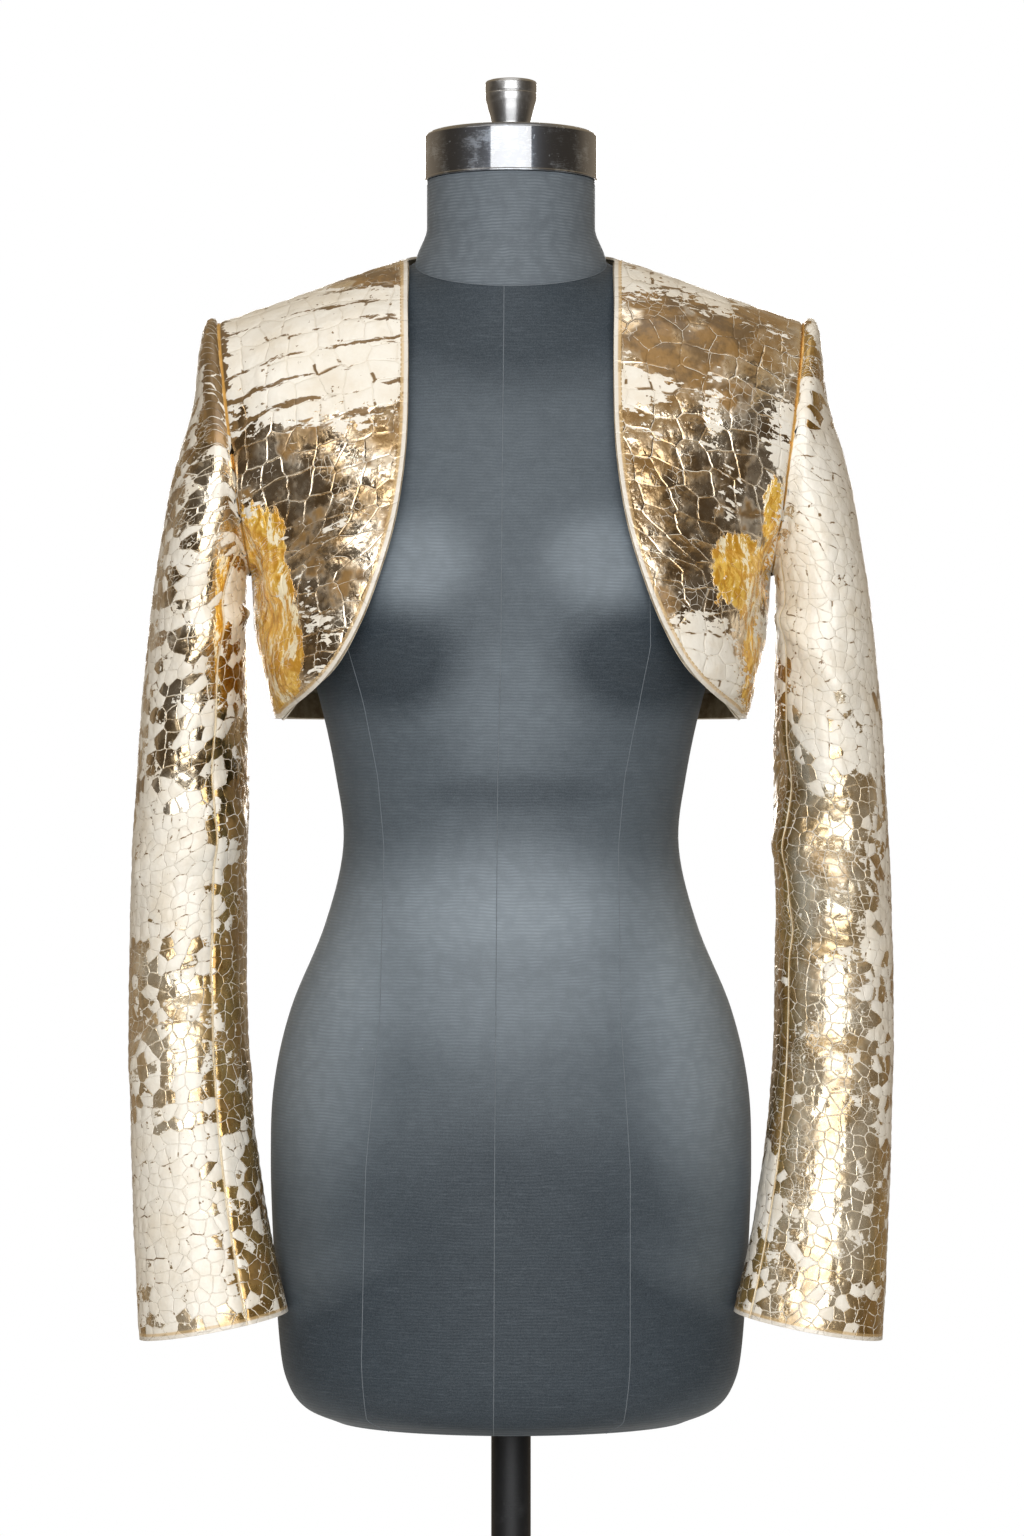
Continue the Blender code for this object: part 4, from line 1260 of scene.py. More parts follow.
@dataclass(frozen=True)
class LiningSatin(Finish):
    """The dark satin inside the jacket, its hems turned up and the sleeves' seams turned in."""

    colour: Colour = (0.012, 0.011, 0.011)
    band: Colour = (0.50, 0.42, 0.30)
    band_width: float = 0.022
    stitch: Colour = (0.20, 0.15, 0.09)
    allowance: Colour = (0.60, 0.47, 0.31)
    allowance_width: float = 0.026
    soft_edge: float = 0.0008

    def paint(self, bench: NodeBench, place: Value) -> None:
        """The finish of the panels' inside."""
        edge = bench.attribute("edge")
        on_band = bench.step(edge, self.band_width + self.soft_edge, self.band_width)
        stitch = bench.step(bench.math("ABSOLUTE", edge - self.band_width), 0.0010, 0.0)
        base = bench.colour(on_band, self.colour, self.band)
        base = bench.colour(stitch * 0.6, base, self.stitch)
        on_sleeve = sleeve_share(bench, bench.parts(bench.attribute("pattern", "FLOAT_VECTOR"))[2])
        wide = self.allowance_width
        turned_in = bench.step(bench.attribute("seam"), wide + self.soft_edge, wide)
        weave = bench.noise(bench.stretched(place, 1.0, 1.0, 0.3), 900.0)
        bench.shade(
            Base_Color=bench.colour(turned_in * on_sleeve, base, self.allowance),
            Roughness=bench.between(on_band, 0.38, 0.55),
            Normal=bench.bump(weave * 0.15 + bench.noise(place, 55.0, 3.0), 0.0015, 0.4)
        )


@dataclass(frozen=True)
class RibbedJersey(Finish):
    """The dress form's cover: a stretched jersey with fine wavy ribs round it, painted light and shade on its
    front, and lint.
    """

    colour: Colour
    light: Colour
    # fade is the jersey's base tone between colour and light; on the torso, painted light and shade is added
    # to it.
    fade: float
    specular: float = 0.28
    rib_pitch: float = 0.0021
    roughness: float = 0.58
    shadow: float = 0.27
    lint: Colour = (0.42, 0.45, 0.46)

    def paint(self, bench: NodeBench, place: Value) -> None:
        """The finish of the torso or the neck."""
        step, noise, colour = bench.step, bench.noise, bench.colour
        height = bench.parts(place)[2] + (noise(place, 14.0) * 0.006 + noise(place, 110.0) * 0.0016)
        ribs = bench.math("SINE", height * (2 * math.pi / self.rib_pitch)) * 0.5 + 0.5
        slub = noise(bench.stretched(place, 0.12, 0.12, 1.0), 700.0, 3.0, 0.6)
        cloud = (noise(place, 9.0, 5.0, 0.6) - 0.5) * 0.25
        # The tone between the colour and the light one carries the painted light and shade of the torso's
        # front.
        tone_with_painted_shading = bench.math("ADD", bench.attribute("tone_with_painted_shading") + self.fade, cloud, clamp=True)
        base = colour(tone_with_painted_shading, self.colour, self.light)
        broken = ribs * step(noise(place, 120.0, 3.0), 0.25, 0.70)
        # Painted shade in the rib valleys, as much as the shadow share.
        rib_valley_shade = tuple(channel * 0.45 for channel in self.colour)
        base = colour((1.0 - broken) * self.shadow, base, rib_valley_shade)
        grain = bench.math("MULTIPLY", noise(place, 1400.0, 2.0, 0.6) - 0.38, 0.45, clamp=True)
        base = colour(step(slub, 0.50, 0.80) * 0.10, colour(grain, base, self.light), self.light)
        inputs = {"Vector": place, "Scale": 42.0}
        specks = bench.made("ShaderNodeTexVoronoi", inputs, "Distance", feature="F1")
        chosen = step(bench.red(specks.beside("Color")), 0.80, 0.82)
        bench.shade(
            Base_Color=colour(step(specks, 0.028, 0.012) * chosen * 0.55, base, self.lint),
            Roughness=self.roughness, Specular_IOR_Level=self.specular, Sheen_Weight=0.12,
            Sheen_Roughness=0.35, Sheen_Tint=(0.75, 0.85, 0.95, 1.0),
            Normal=bench.bump(ribs * 0.6 + slub * 0.6, 0.00022, 0.6)
        )


@dataclass(frozen=True)
class TurnedMetal(Finish):
    """Polished, brushed or dull metal, with scratches, spots and turning marks."""

    colour: Colour
    dull: Colour
    roughness: float
    worn_roughness: float
    turning: float = 0.0
    metallic: float = 1.0
    polish: float = 0.0

    def paint(self, bench: NodeBench, place: Value) -> None:
        """The finish."""
        scratch = bench.noise(bench.stretched(place, 1.0, 1.0, 7.0), 210.0, 4.0, 0.7)
        scuffed = bench.step(bench.noise(place, 60.0, 6.0, 0.7) + scratch * 0.5, 0.74, 0.98)
        nick = bench.noise(bench.stretched(place, 1.0, 1.0, 0.5), 420.0, 2.0, 0.6)
        scuffed = scuffed | bench.step(nick, 0.69, 0.72)
        marks = bench.noise(bench.stretched(place, 0.02, 0.02, 1.0), 1500.0)
        bench.shade(
            Base_Color=bench.colour(scuffed, self.colour, self.dull), Metallic=self.metallic,
            Coat_Weight=self.polish, Coat_Roughness=0.05, Coat_IOR=2.5,
            Roughness=bench.between(scuffed, self.roughness, self.worn_roughness),
            Normal=bench.bump(marks * self.turning + scratch * 0.08, 0.0004, 0.5)
        )


@dataclass(frozen=True)
class PlainFinish(Finish):
    """The uneven finish of small parts: thread, and the seam cords."""

    colour: Colour
    shade: Colour
    roughness: float

    def paint(self, bench: NodeBench, place: Value) -> None:
        """The finish."""
        uneven = bench.noise(place, 900.0, 3.0)
        base = bench.colour(uneven, self.colour, self.shade)
        bench.shade(Base_Color=base, Roughness=self.roughness, Normal=bench.bump(uneven, 0.0003, 0.4))


@dataclass(frozen=True)
class PaleFloor(Finish):
    """The studio's floor, clear towards its rim."""

    def paint(self, bench: NodeBench, place: Value) -> None:
        """The finish."""
        reach = bench.made("ShaderNodeVectorMath", {0: place}, "Value", operation="LENGTH")
        bench.shade(
            Base_Color=bench.colour(bench.noise(place, 3.0, 3.0), (0.80, 0.80, 0.79), (0.84, 0.84, 0.83)),
            Roughness=0.7, Alpha=bench.step(reach, 2.6, 0.8)
        )


@dataclass
class Wardrobe:
    """Every finish of the object, made once."""

    pattern: ScalePattern = field(default_factory=ScalePattern)
    made: dict[str, bpy.types.Material] = field(default_factory=dict)

    def __post_init__(self) -> None:
        """Makes the materials."""
        finishes = (
            FoiledLeather("Foiled leather", self.pattern),
            PlainLeather("Cut edge", (0.70, 0.66, 0.58), (0.52, 0.46, 0.36), 0.5),
            LiningSatin("Lining satin"),
            PlainLeather("Facing leather", (0.46, 0.36, 0.22), (0.24, 0.16, 0.08), 0.34, 0.55),
            PlainLeather("Seam welt", (0.78, 0.50, 0.17), (0.50, 0.28, 0.07), 0.30, 0.35),
            PlainLeather("Sleeve welt", (0.82, 0.74, 0.58), (0.62, 0.50, 0.32), 0.34, 0.15),
            PlainFinish("Seam thread", (0.20, 0.23, 0.26), (0.09, 0.11, 0.13), 0.80),
            PlainFinish("Stitching thread", (0.62, 0.44, 0.20), (0.42, 0.28, 0.12), 0.55),
            RibbedJersey("Form jersey", (0.027, 0.039, 0.052), (0.240, 0.286, 0.329), 0.29),
            RibbedJersey("Neck jersey", (0.105, 0.127, 0.152), (0.215, 0.251, 0.284), 0.5, 0.15, shadow=0.48),
            TurnedMetal("Cap chrome", (0.1, 0.112, 0.135), (0.36, 0.41, 0.48), 0.33, 0.46, 0.05, polish=1.0),
            TurnedMetal("Knob steel", (0.36, 0.365, 0.37), (0.46, 0.465, 0.47), 0.34, 0.44, 0.2, polish=0.35),
            TurnedMetal("Stand iron", (0.015, 0.016, 0.018), (0.028, 0.030, 0.033), 0.50, 0.65, 0.3, 0.5),
        )
        for finish in finishes:
            material = finish.material()
            self.made[material.name] = material

    def dress(self, piece: Piece, *names: str) -> None:
        """Gives a piece its materials, in slot order."""
        piece.data.materials.clear()
        for name in names:
            piece.data.materials.append(self.made[name])


def settle(piece: Piece, slot: str, *nodes: str) -> None:
    """Rides a finished piece on the one body, hides the solids that it replaces and logs its faces.

    Args:
        piece: the finished piece.
        slot: the record's material slot of its finish; not used.
        nodes: the solids that it replaces.
    """
    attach(piece, "root")
    if nodes:
        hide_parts(*nodes)
    log.info("%s: %d faces", piece.name, len(piece.data.polygons))


def thicken(piece: Piece, thickness: float, edge_radius: float) -> None:
    """Gives a sheet its wall, inwards, with its own inner and rim materials and softened edges."""
    take(piece)
    wall = piece.modifiers.new("Wall", "SOLIDIFY")
    wall.thickness = thickness
    wall.offset = -1.0
    wall.material_offset = 1
    wall.material_offset_rim = 2
    bevelled(piece, edge_radius, 2, 55).loop_slide = False
    apply_modifiers(piece)
    bpy.ops.object.shade_smooth()


@dataclass(frozen=True)
class StitchLine:
    """A line of even stitches laid on a surface."""

    pitch: float = 0.0036
    length: float = 0.0028
    thickness: float = 0.00055

    def build(self, name: str, path: Array, normals: Array) -> Piece:
        """One stitch is modelled and then copied along the path, all in one piece.

        Args:
            name: the new piece's name.
            path: points that the stitches follow.
            normals: the surface's normals there.

        Returns:
            The piece.
        """
        deselect_all()
        bpy.ops.mesh.primitive_uv_sphere_add(segments=6, ring_count=5, radius=0.5)
        model = bpy.context.object
        corners = np.array([vert.co for vert in model.data.vertices])
        faces = [list(polygon.vertices) for polygon in model.data.polygons]
        bpy.data.objects.remove(model, do_unlink=True)
        bulge = np.array((self.length, self.thickness * 1.25, self.thickness))
        corners = np.stack([corners[:, 2], corners[:, 1], corners[:, 0]], axis=1) * bulge
        faces = [face[::-1] for face in faces]

        run = length_along(path)
        marks = np.arange(self.pitch / 2, run[-1], self.pitch)
        vertices, polygons = [], []
        for number, mark in enumerate(marks):
            ahead, behind = (read_along(path, run, mark + way * self.pitch / 4) for way in (1, -1))
            up = unit(read_along(normals, run, mark))
            along = unit(ahead - behind)
            frame = np.stack([along, np.cross(up, along), up])
            vertices.append(corners @ frame + read_along(path, run, mark) + up * (self.thickness * 0.15))
            polygons.extend([[index + number * len(corners) for index in face] for face in faces])
        mesh = bpy.data.meshes.new(name)
        mesh.from_pydata(np.concatenate(vertices).tolist(), [], polygons)
        mesh.shade_smooth()
        return placed(name, mesh)


def distance_to_line(points: Array, line: Array, reach: float) -> Array:
    """The straight distance from each point of a grid to a line of points, up to a reach.

    Args:
        points: a grid of points.
        line: the points that the line runs through.
        reach: the most that is measured, in metres.

    Returns:
        A grid of distances.
    """
    run = length_along(line)
    dense = read_along(line, run, np.linspace(0.0, run[-1], max(2, int(run[-1] / FINE_MARK))))
    flat = points.reshape(-1, 3)
    result = np.full(len(flat), reach)
    coarse = dense[:: max(1, int(ROUGH_MARK / FINE_MARK))]
    for start in range(0, len(flat), BLOCK):
        block = flat[start : start + BLOCK]
        rough = np.linalg.norm(block[:, None] - coarse[None], axis=-1).min(axis=1)
        close = rough < reach + ROUGH_MARK
        if close.any():
            exact = np.linalg.norm(block[close][:, None] - dense[None], axis=-1).min(axis=1)
            result[start : start + BLOCK][close] = np.minimum(exact, reach)
    return result.reshape(points.shape[:2])


def even_positions(line: Array, positions: Array, step: float) -> Array:
    """Positions that follow a line at even steps, closer near its ends.

    Args:
        line: points along the line.
        positions: the position of each.
        step: the step in metres.

    Returns:
        The positions to use.
    """
    run = length_along(line)
    return np.interp(spaced(run[-1], step) * run[-1], run, positions)


def drawn_back(points: Array, edge: str) -> None:
    """Draws one edge of a grid back from its seam by half the seam gap, in place."""
    rows = points if edge in ("top", "bottom") else points.transpose(1, 0, 2)
    first, second = (0, 1) if edge in ("top", "left") else (-1, -2)
    rows[first] = rows[first] + unit(rows[second] - rows[first]) * (SEAM_GAP / 2)


def grid_normals(points: Array, towards: Array) -> Array:
    """Normals of a grid by its own differences, turned towards a direction at its middle."""
    across = np.gradient(points, axis=1)
    down = np.gradient(points, axis=0)
    normals = unit(np.cross(across, down))
    rows, columns = points.shape[:2]
    return normals if normals[rows // 2, columns // 2] @ towards > 0 else -normals


def contour(points: Array, field_values: Array, level: float, axis: int) -> tuple[Array, Array]:
    """Where a rising measure first passes a level along each row or column of a grid.

    Args:
        points: a grid of points, or of longer rows of numbers.
        field_values: the measure at each point.
        level: the level to find.
        axis: 1 to look along the rows, 0 down the columns.

    Returns:
        The places, one for each row or column, and the fractional index of each.
    """
    if axis == 0:
        points, field_values = points.transpose(1, 0, 2), field_values.T
    found, indices = [], []
    for line, values in zip(points, field_values):
        past = int(np.argmax(values >= level))
        past = max(past, 1)
        low, high = values[past - 1], values[past]
        share = float(np.clip((level - low) / max(high - low, 1e-9), 0.0, 1.0))
        found.append(line[past - 1] * (1 - share) + line[past] * share)
        indices.append(past - 1 + share)
    return np.array(found), np.array(indices)


def cord(name: str, paths: Sequence[Array], radius: float, closed: Sequence[bool]) -> Piece:
    """Thin round cords along paths, all in one piece.

    Args:
        name: the new piece's name.
        paths: the points of each cord's middle.
        radius: the cords' radius.
        closed: whether each cord runs in a ring.

    Returns:
        The piece, as a mesh.
    """
    curve = bpy.data.curves.new(name, "CURVE")
    curve.dimensions = "3D"
    curve.bevel_depth = radius
    curve.bevel_resolution = 1
    curve.use_fill_caps = True
    for path, ring in zip(paths, closed):
        spline = curve.splines.new("POLY")
        spline.points.add(len(path) - 1)
        for point, place in zip(spline.points, path):
            point.co = (*place, 1.0)
        spline.use_cyclic_u = ring
    cords = placed(name, curve)
    take(cords)
    bpy.ops.object.convert(target="MESH")
    bpy.ops.object.shade_smooth()
    return cords


@dataclass
class LeatherWork:
    """What every leather panel shares: its relief, its wall and its finishes."""

    wardrobe: Wardrobe
    edge_radius: float = 0.0005
    measure_reach: float = 0.030
    welt_radius: float = 0.0009
    welt_depth: float = 0.0012

    def panel(
        self, node: str, points: Array, outward: Array, seam: Array, edge: Array,
        pattern: tuple[Array, Array, float], yellow: Sequence[WornPatch], stitched: bool
    ) -> tuple[Piece, Array]:
        """One leather panel with its wall, in place of one solid.

        Args:
            node: the solid, after which the piece is named.
            points: the grid of its outer points.
            outward: where the middle of the grid looks.
            seam: the distance to the nearest seam.
            edge: the distance to the nearest free edge.
            pattern: each point's place across and down the pattern of scales, and their unevenness.
            yellow: where its foil is a deep yellow.
            stitched: whether stitching runs inside its free edges.

        Returns:
            The piece, and the grid of its raised outer points, each with its normal after it.
        """
        piece = grid_piece(f"bolero_{node}", points, outward)
        across, down, uneven = pattern
        measures = {
            "seam": seam,
            "edge": edge,
            "worn": worn_amount(points),
            "amber": front_amount(points, yellow),
            "matt": front_amount(points, MATT_FRONT),
            "pattern": np.stack([across, down, 0 * across + uneven], axis=-1),
        }
        for measure, values in measures.items():
            add_attribute(piece, measure, values)
        Relief(self.wardrobe.pattern).apply(piece, stitched)
        raised = np.zeros(points.size, np.float32)
        piece.data.vertices.foreach_get("co", raised)
        raised = raised.astype(float).reshape(points.shape)
        self.wardrobe.dress(piece, "Foiled leather", "Lining satin", "Cut edge")
        thicken(piece, LEATHER * 0.95, self.edge_radius)
        settle(piece, "foiled_leather", node)
        return piece, np.concatenate([raised, grid_normals(raised, outward)], axis=-1)

    def facing(self, node: str, points: Array, normals: Array, outward: Array) -> Piece:
        """A thin facing just inside a panel, in place of the solid that it is named after."""
        piece = grid_piece(f"bolero_{node}", points - normals * (LEATHER + SEAM_GAP), outward)
        self.wardrobe.dress(piece, "Facing leather", "Facing leather", "Cut edge")
        thicken(piece, FACING, self.edge_radius * 0.7)
        settle(piece, "facing_leather", node)
        return piece

    def welt(
        self, name: str, path: Array, normals: Array, ring: bool = False, stout: float = 1.0,
        finish: str = "Seam welt",
    ) -> Piece:
        """The turned-in leather that shows at the bottom of a seam."""
        radius = self.welt_radius * stout
        depth = self.welt_depth - self.welt_radius + radius
        piece = cord(name, [path - unit(normals) * depth], radius, [ring])
        self.wardrobe.dress(piece, finish)
        settle(piece, "foiled_leather")
        return piece

    def stitches(self, name: str, path: Array) -> Piece:
        """A line of stitching along a path of points, each with its normal after it."""
        piece = StitchLine().build(name, path[:, :3], path[:, 3:])
        self.wardrobe.dress(piece, "Stitching thread")
        settle(piece, "facing_leather")
        return piece


@dataclass
class Bodice:
    """The two open fronts, the back, their facings and their stitching."""

    work: LeatherWork
    step: float = 0.0018
    back_step: float = 0.0021
    front_width: float = 0.125
    back_half_width: float = 0.225
    scale_width: float = 0.0180
    scale_height: float = 0.0165
    back_scale: float = 0.0190
    back_flat: float = 0.82
    row_slope: float = 0.5
    back_row_slope: float = 0.12
    facing_share: float = 0.17
    facing_shows: float = 0.0004
    hem_facing_from: float = 7.25
    armhole_welt_shift: float = 0.0006
    underlay_below: float = 1.255
    underlay_depth: float = 0.0010
    underlay_shift: float = 0.0024
    underlay_stout: float = 3.8

    def build(self) -> None:
        """Makes every piece of the bodice."""
        for side in Side:
            self.build_front(side)
        self.build_back()

    def rows_of(self, surface: Surface, across: float, step: float) -> Array:
        """Positions down a panel at even steps along one of its columns."""
        positions = np.linspace(0.0, HEM_ROW, 161)
        line = surface(np.array((across,)), positions)[:, 0]
        return even_positions(line, positions, step)

    def build_front(self, side: Side) -> None:
        """One front, its facing and its stitching."""
        name = f"front_{side.value}"
        turned = side.turned
        across = spaced(self.front_width, self.step)
        down = self.rows_of(front_surface, 0.5, self.step)
        points = folded_panel(front_surface, FOLDS[name], FRONT_SCALE, across, down, -1.0)
        outward = np.array((0.3, -1.0, 0.0))
        normals = grid_normals(points, outward)
        facing_columns = int(np.searchsorted(across, self.facing_share))
        facing_points = points[:, :facing_columns].copy()
        facing_points[:, 0] -= unit(points[:, 1] - points[:, 0]) * self.facing_shows
        below = int(np.searchsorted(-points[:, -1, 2], -UNDERARM[2]))
        seams = {"shoulder": (points[0], normals[0]), "side": (points[below:, -1], normals[below:, -1])}
        welts = [
            self.work.welt(f"welt_{place}_{side.value}", turned(path), turned(away))
            for place, (path, away) in seams.items()
        ]
        welts += [
            self.work.welt(f"welt_armhole_{side.value}", *self.armhole(side), ring=True, stout=1.9),
            self.underlay(side),
        ]
        for edge in ("top", "right"):
            drawn_back(points, edge)
        drawn_back(facing_points, "top")

        reach = self.work.measure_reach
        run = run_along(points, 1)
        from_side = run[:, -1:] - run
        from_top = run_along(points, 0)
        to_front = distance_to_line(points, points[:, 0], reach)
        to_hem = distance_to_line(points, points[-1], reach)
        seam = np.minimum(np.minimum(from_side, from_top), reach)
        offset = PATTERN_START[name]
        drop = self.row_slope * from_top + (1 - self.row_slope) * (NECK_POINT[2] - points[..., 2])
        pattern = (from_side / self.scale_width + offset, drop / self.scale_height + offset, BODY_UNEVEN)
        edge = np.minimum(to_front, to_hem)
        piece, raised = self.work.panel(
            name, turned(points), turned(outward), seam, edge, pattern, AMBER_FRONT, stitched=True
        )
        facing_normals = turned(normals[:, :facing_columns])
        facing = self.work.facing(
            f"front_facing_{side.value}", turned(facing_points), facing_normals, turned(outward)
        )
        down_edge, down_index = contour(raised, to_front, STITCH_INSET, 1)
        columns = np.minimum(np.rint(down_index).astype(int), len(across) - 1)
        kept = to_hem[np.arange(len(down_index)), columns]
        down_rows = (kept > STITCH_INSET) & (from_top[:, 0] > 0.001)
        hem_edge, hem_index = contour(raised[::-1], to_hem[::-1], STITCH_INSET, 0)
        hem_rows = np.minimum(np.rint(hem_index).astype(int), len(down) - 1)
        hem_columns = to_front[::-1][hem_rows, np.arange(len(across))] > STITCH_INSET
        path = np.concatenate([down_edge[down_rows], hem_edge[hem_columns]])
        stitches = self.work.stitches(f"stitches_{name}", path)

    def armhole(self, side: Side) -> tuple[Array, Array]:
        """The armhole's points, a little out on the sleeve, and their directions away from its middle."""
        ring = np.array([armhole_point(angle) for angle in np.linspace(0.0, 360.0, 145)[:-1]])
        outwards = unit(ring - ring.mean(axis=0))
        along_arm = unit(np.cross((0.0, 1.0, 0.0), SHOULDER_TIP - UNDERARM))
        moved = ring + along_arm * self.armhole_welt_shift
        return side.turned(moved), side.turned(outwards)

    def underlay(self, side: Side) -> Piece:
        """The seam allowance that lies under the lower part of an armhole's seam."""
        ring, outwards = self.armhole(side)
        order = np.roll(np.arange(len(ring)), -int(np.argmax(ring[:, 2])))
        low = order[ring[order, 2] < self.underlay_below]
        sunk = ring[low] - outwards[low] * self.underlay_depth
        sunk[:, 0] += side.turned(np.array((1.0, 0.0, 0.0)))[0] * self.underlay_shift
        name = f"underlay_armhole_{side.value}"
        return self.work.welt(name, sunk, outwards[low], stout=self.underlay_stout, finish="Facing leather")

    def back_points(self, across: Array, down: Array) -> Array:
        """The whole back's outer points, from the right side seam to the left."""
        halves = []
        for side in (Side.RIGHT, Side.LEFT):
            folds = FOLDS["back"]
            if side is Side.RIGHT:
                folds = [
                    fold._replace(across_start=-fold.across_start, across_end=-fold.across_end)
                    for fold in folds
                ]
            half = folded_panel(back_surface, folds, BACK_SCALE, across, down, 1.0)
            halves.append(side.turned(half))
        return np.concatenate([halves[0][:, :0:-1], halves[1]], axis=1)

    def build_back(self) -> None:
        """The back, the facing inside its hem and the stitching round its neck and hem."""
        whole = spaced(2 * self.back_half_width, self.back_step)
        across = np.concatenate([[0.0], whole[whole > 0.5] * 2 - 1])
        down = self.rows_of(back_surface, 0.6, self.back_step)
        points = self.back_points(across, down)
        outward = np.array((0.0, 1.0, 0.0))
        middle = len(across) - 1
        neck = int(np.searchsorted(across, NECK_SHARE))
        neck_columns = slice(middle - neck, middle + neck + 1)
        facing_rows = int(np.searchsorted(down, self.hem_facing_from))
        facing_points = points[facing_rows:].copy()
        facing_normals = grid_normals(points, outward)[facing_rows:]
        for edge in ("left", "right"):
            drawn_back(points, edge)
            drawn_back(facing_points, edge)
        plain_top = points[0, neck_columns].copy()
        drawn_back(points, "top")
        points[0, neck_columns] = plain_top

        reach = self.work.measure_reach
        run = run_along(points, 1)
        from_top = run_along(points, 0)
        seam = np.minimum(run, run[:, -1:] - run)
        shoulder = from_top.copy()
        shoulder[:, neck_columns] = reach
        seam = np.minimum(np.minimum(seam, shoulder), reach)
        to_neck = distance_to_line(points, points[0, neck_columns], reach)
        to_hem = distance_to_line(points, points[-1], reach)
        centred = run - run[:, middle : middle + 1]
        drop = self.back_row_slope * from_top + (1 - self.back_row_slope) * (NECK_POINT[2] - points[..., 2])
        offset = PATTERN_START["back"]
        height = self.back_scale * self.back_flat
        pattern = (centred / self.back_scale + offset, drop / height + (offset - 0.5), BODY_UNEVEN)
        edge = np.minimum(to_neck, to_hem)
        piece, raised = self.work.panel(
            "back", points, outward, seam, edge, pattern, AMBER_FRONT, stitched=True
        )
        facing = self.work.facing("hem_facing", facing_points, facing_normals, outward)
        hem, _ = contour(raised[::-1], to_hem[::-1], STITCH_INSET, 0)
        round_neck, _ = contour(raised[:, neck_columns], to_neck[:, neck_columns], STITCH_INSET, 0)
        stitches = self.work.stitches("stitches_back_hem", hem)
        neck_stitches = self.work.stitches("stitches_back_neck", round_neck)


@dataclass
class Sleeves:
    """Both two-piece sleeves."""

    work: LeatherWork
    step: float = 0.0020
    top_width: float = 0.215
    under_width: float = 0.085
    scale_width: float = 0.0096
    scale_height: float = 0.0088

    def build(self) -> None:
        """Makes the four sleeve pieces."""
        positions = np.linspace(0.0, len(SLEEVE_RINGS) - 1.0, 361)
        front_line = sleeve_points(np.full((len(positions), 1), 60.0), positions)[:, 0]
        down = even_positions(front_line, positions, self.step)
        for side in Side:
            for under in (False, True):
                self.build_piece(side, down, under)

    def build_piece(self, side: Side, down: Array, under: bool) -> None:
        """One piece of one sleeve.

        Args:
            side: the wearer's side.
            down: positions down the sleeve's rings.
            under: whether it is the under sleeve.
        """
        swing = fade(down / SLEEVE_RINGS_AT_ARMHOLE)
        front = FRONT_SEAM_AT_ARMHOLE + (FRONT_SEAM[side.value] - FRONT_SEAM_AT_ARMHOLE) * swing
        width = self.under_width if under else self.top_width
        shares = spaced(width, self.step)[None, :]
        start = front[:, None] if under else np.full((len(down), 1), BACK_SEAM)
        end = np.full((len(down), 1), BACK_SEAM + 360.0) if under else front[:, None]
        angles = start + (end - start) * shares
        points = folded_sleeve(FOLDS[f"sleeve_{side.value}"], angles, down)
        name = f"sleeve_{'under' if under else 'top'}_{side.value}"
        outward = side.turned(np.array((-1.0, 0.3, 0.0) if under else (1.0, -0.6, 0.0)))
        if not under:
            normals = side.turned(grid_normals(points, side.turned(outward)))
            for place, column in (("back", 0), ("front", -1)):
                path = side.turned(points[2:, column])
                title, away = f"welt_sleeve_{place}_{side.value}", normals[2:, column]
                self.work.welt(title, path, away, stout=0.45, finish="Sleeve welt")
        for edge in ("left", "right"):
            drawn_back(points, edge)
        plane = -unit(np.cross(SHOULDER_TIP - UNDERARM, (0.0, 1.0, 0.0)))
        past = (points - SHOULDER_TIP) @ plane
        points += np.maximum(SEAM_GAP - past, 0.0)[..., None] * plane

        reach = self.work.measure_reach
        run = run_along(points, 1)
        from_top = run_along(points, 0)
        from_hem = from_top[-1:] - from_top
        seam = np.minimum(np.minimum(run, run[:, -1:] - run), reach)
        from_front = run if under else run[:, -1:] - run
        offset = PATTERN_START[f"sleeve_{side.value}"] + under * UNDER_SLEEVE_START
        down_pattern = offset - from_hem / self.scale_height
        pattern = (from_front / self.scale_width + offset, down_pattern, SLEEVE_UNEVEN)
        amber = () if under else AMBER_SLEEVE
        edge = np.minimum(from_hem, reach)
        piece, _ = self.work.panel(
            name, side.turned(points), outward, seam, edge, pattern, amber, stitched=False
        )


class FormSeamRow(NamedTuple):
    """Where the torso's front seams run at one position down its table."""

    position: float
    centre: float
    right: float
    left: float


FORM_SEAMS = table(
    FormSeamRow,
    (0.0, -0.0045, -0.06, 0.05),
    (5.0, -0.0055, -0.1, 0.086),
    (9.0, -0.0065, -0.107, 0.09),
    (10.0, -0.0075, -0.096, 0.083),
    (11.0, -0.0085, -0.087, 0.074),
    (12.0, -0.009, -0.083, 0.07),
    (14.0, -0.0098, -0.085, 0.071),
    (16.0, -0.0105, -0.094, 0.077),
    (18.0, -0.011, -0.097, 0.077),
    (20.0, -0.0113, -0.094, 0.073),
    (21.0, -0.0113, -0.08, 0.062),
)

# The other seams' places round the torso, in degrees from +X towards +Y.
FORM_SEAM_ANGLES = {
    "side_left": 2.0, "side_right": 178.0, "back": 90.0, "back_left": 52.0, "back_right": 128.0
}

# Painted light and shade on the front of the torso's jersey, as tone patches: painted light over the bust,
# the belly and the hips, and painted shade, where the amount is below 0, under the bust, at the waist,
# towards the bottom and high on the chest.
FORM_PAINTED_SHADING = table(
    WornPatch,
    (-0.062, 1.155, 0.042, 0.032, 0.5),
    (0.062, 1.155, 0.042, 0.032, 0.5),
    (-0.082, 1.088, 0.052, 0.034, -0.38),
    (0.082, 1.088, 0.052, 0.034, -0.38),
    (0.0, 1.062, 0.05, 0.046, 0.22),
    (0.004, 1.004, 0.066, 0.013, -0.17),
    (-0.006, 0.938, 0.105, 0.04, 0.36),
    (0.0, 0.895, 0.125, 0.064, 0.42),
    (-0.13, 0.86, 0.05, 0.11, 0.52),
    (0.13, 0.86, 0.05, 0.11, 0.64),
    (0.0, 0.73, 0.12, 0.07, -0.3),
    (0.0, 0.64, 0.16, 0.055, -0.68),
    (0.0, 1.335, 0.12, 0.07, -0.4),
)


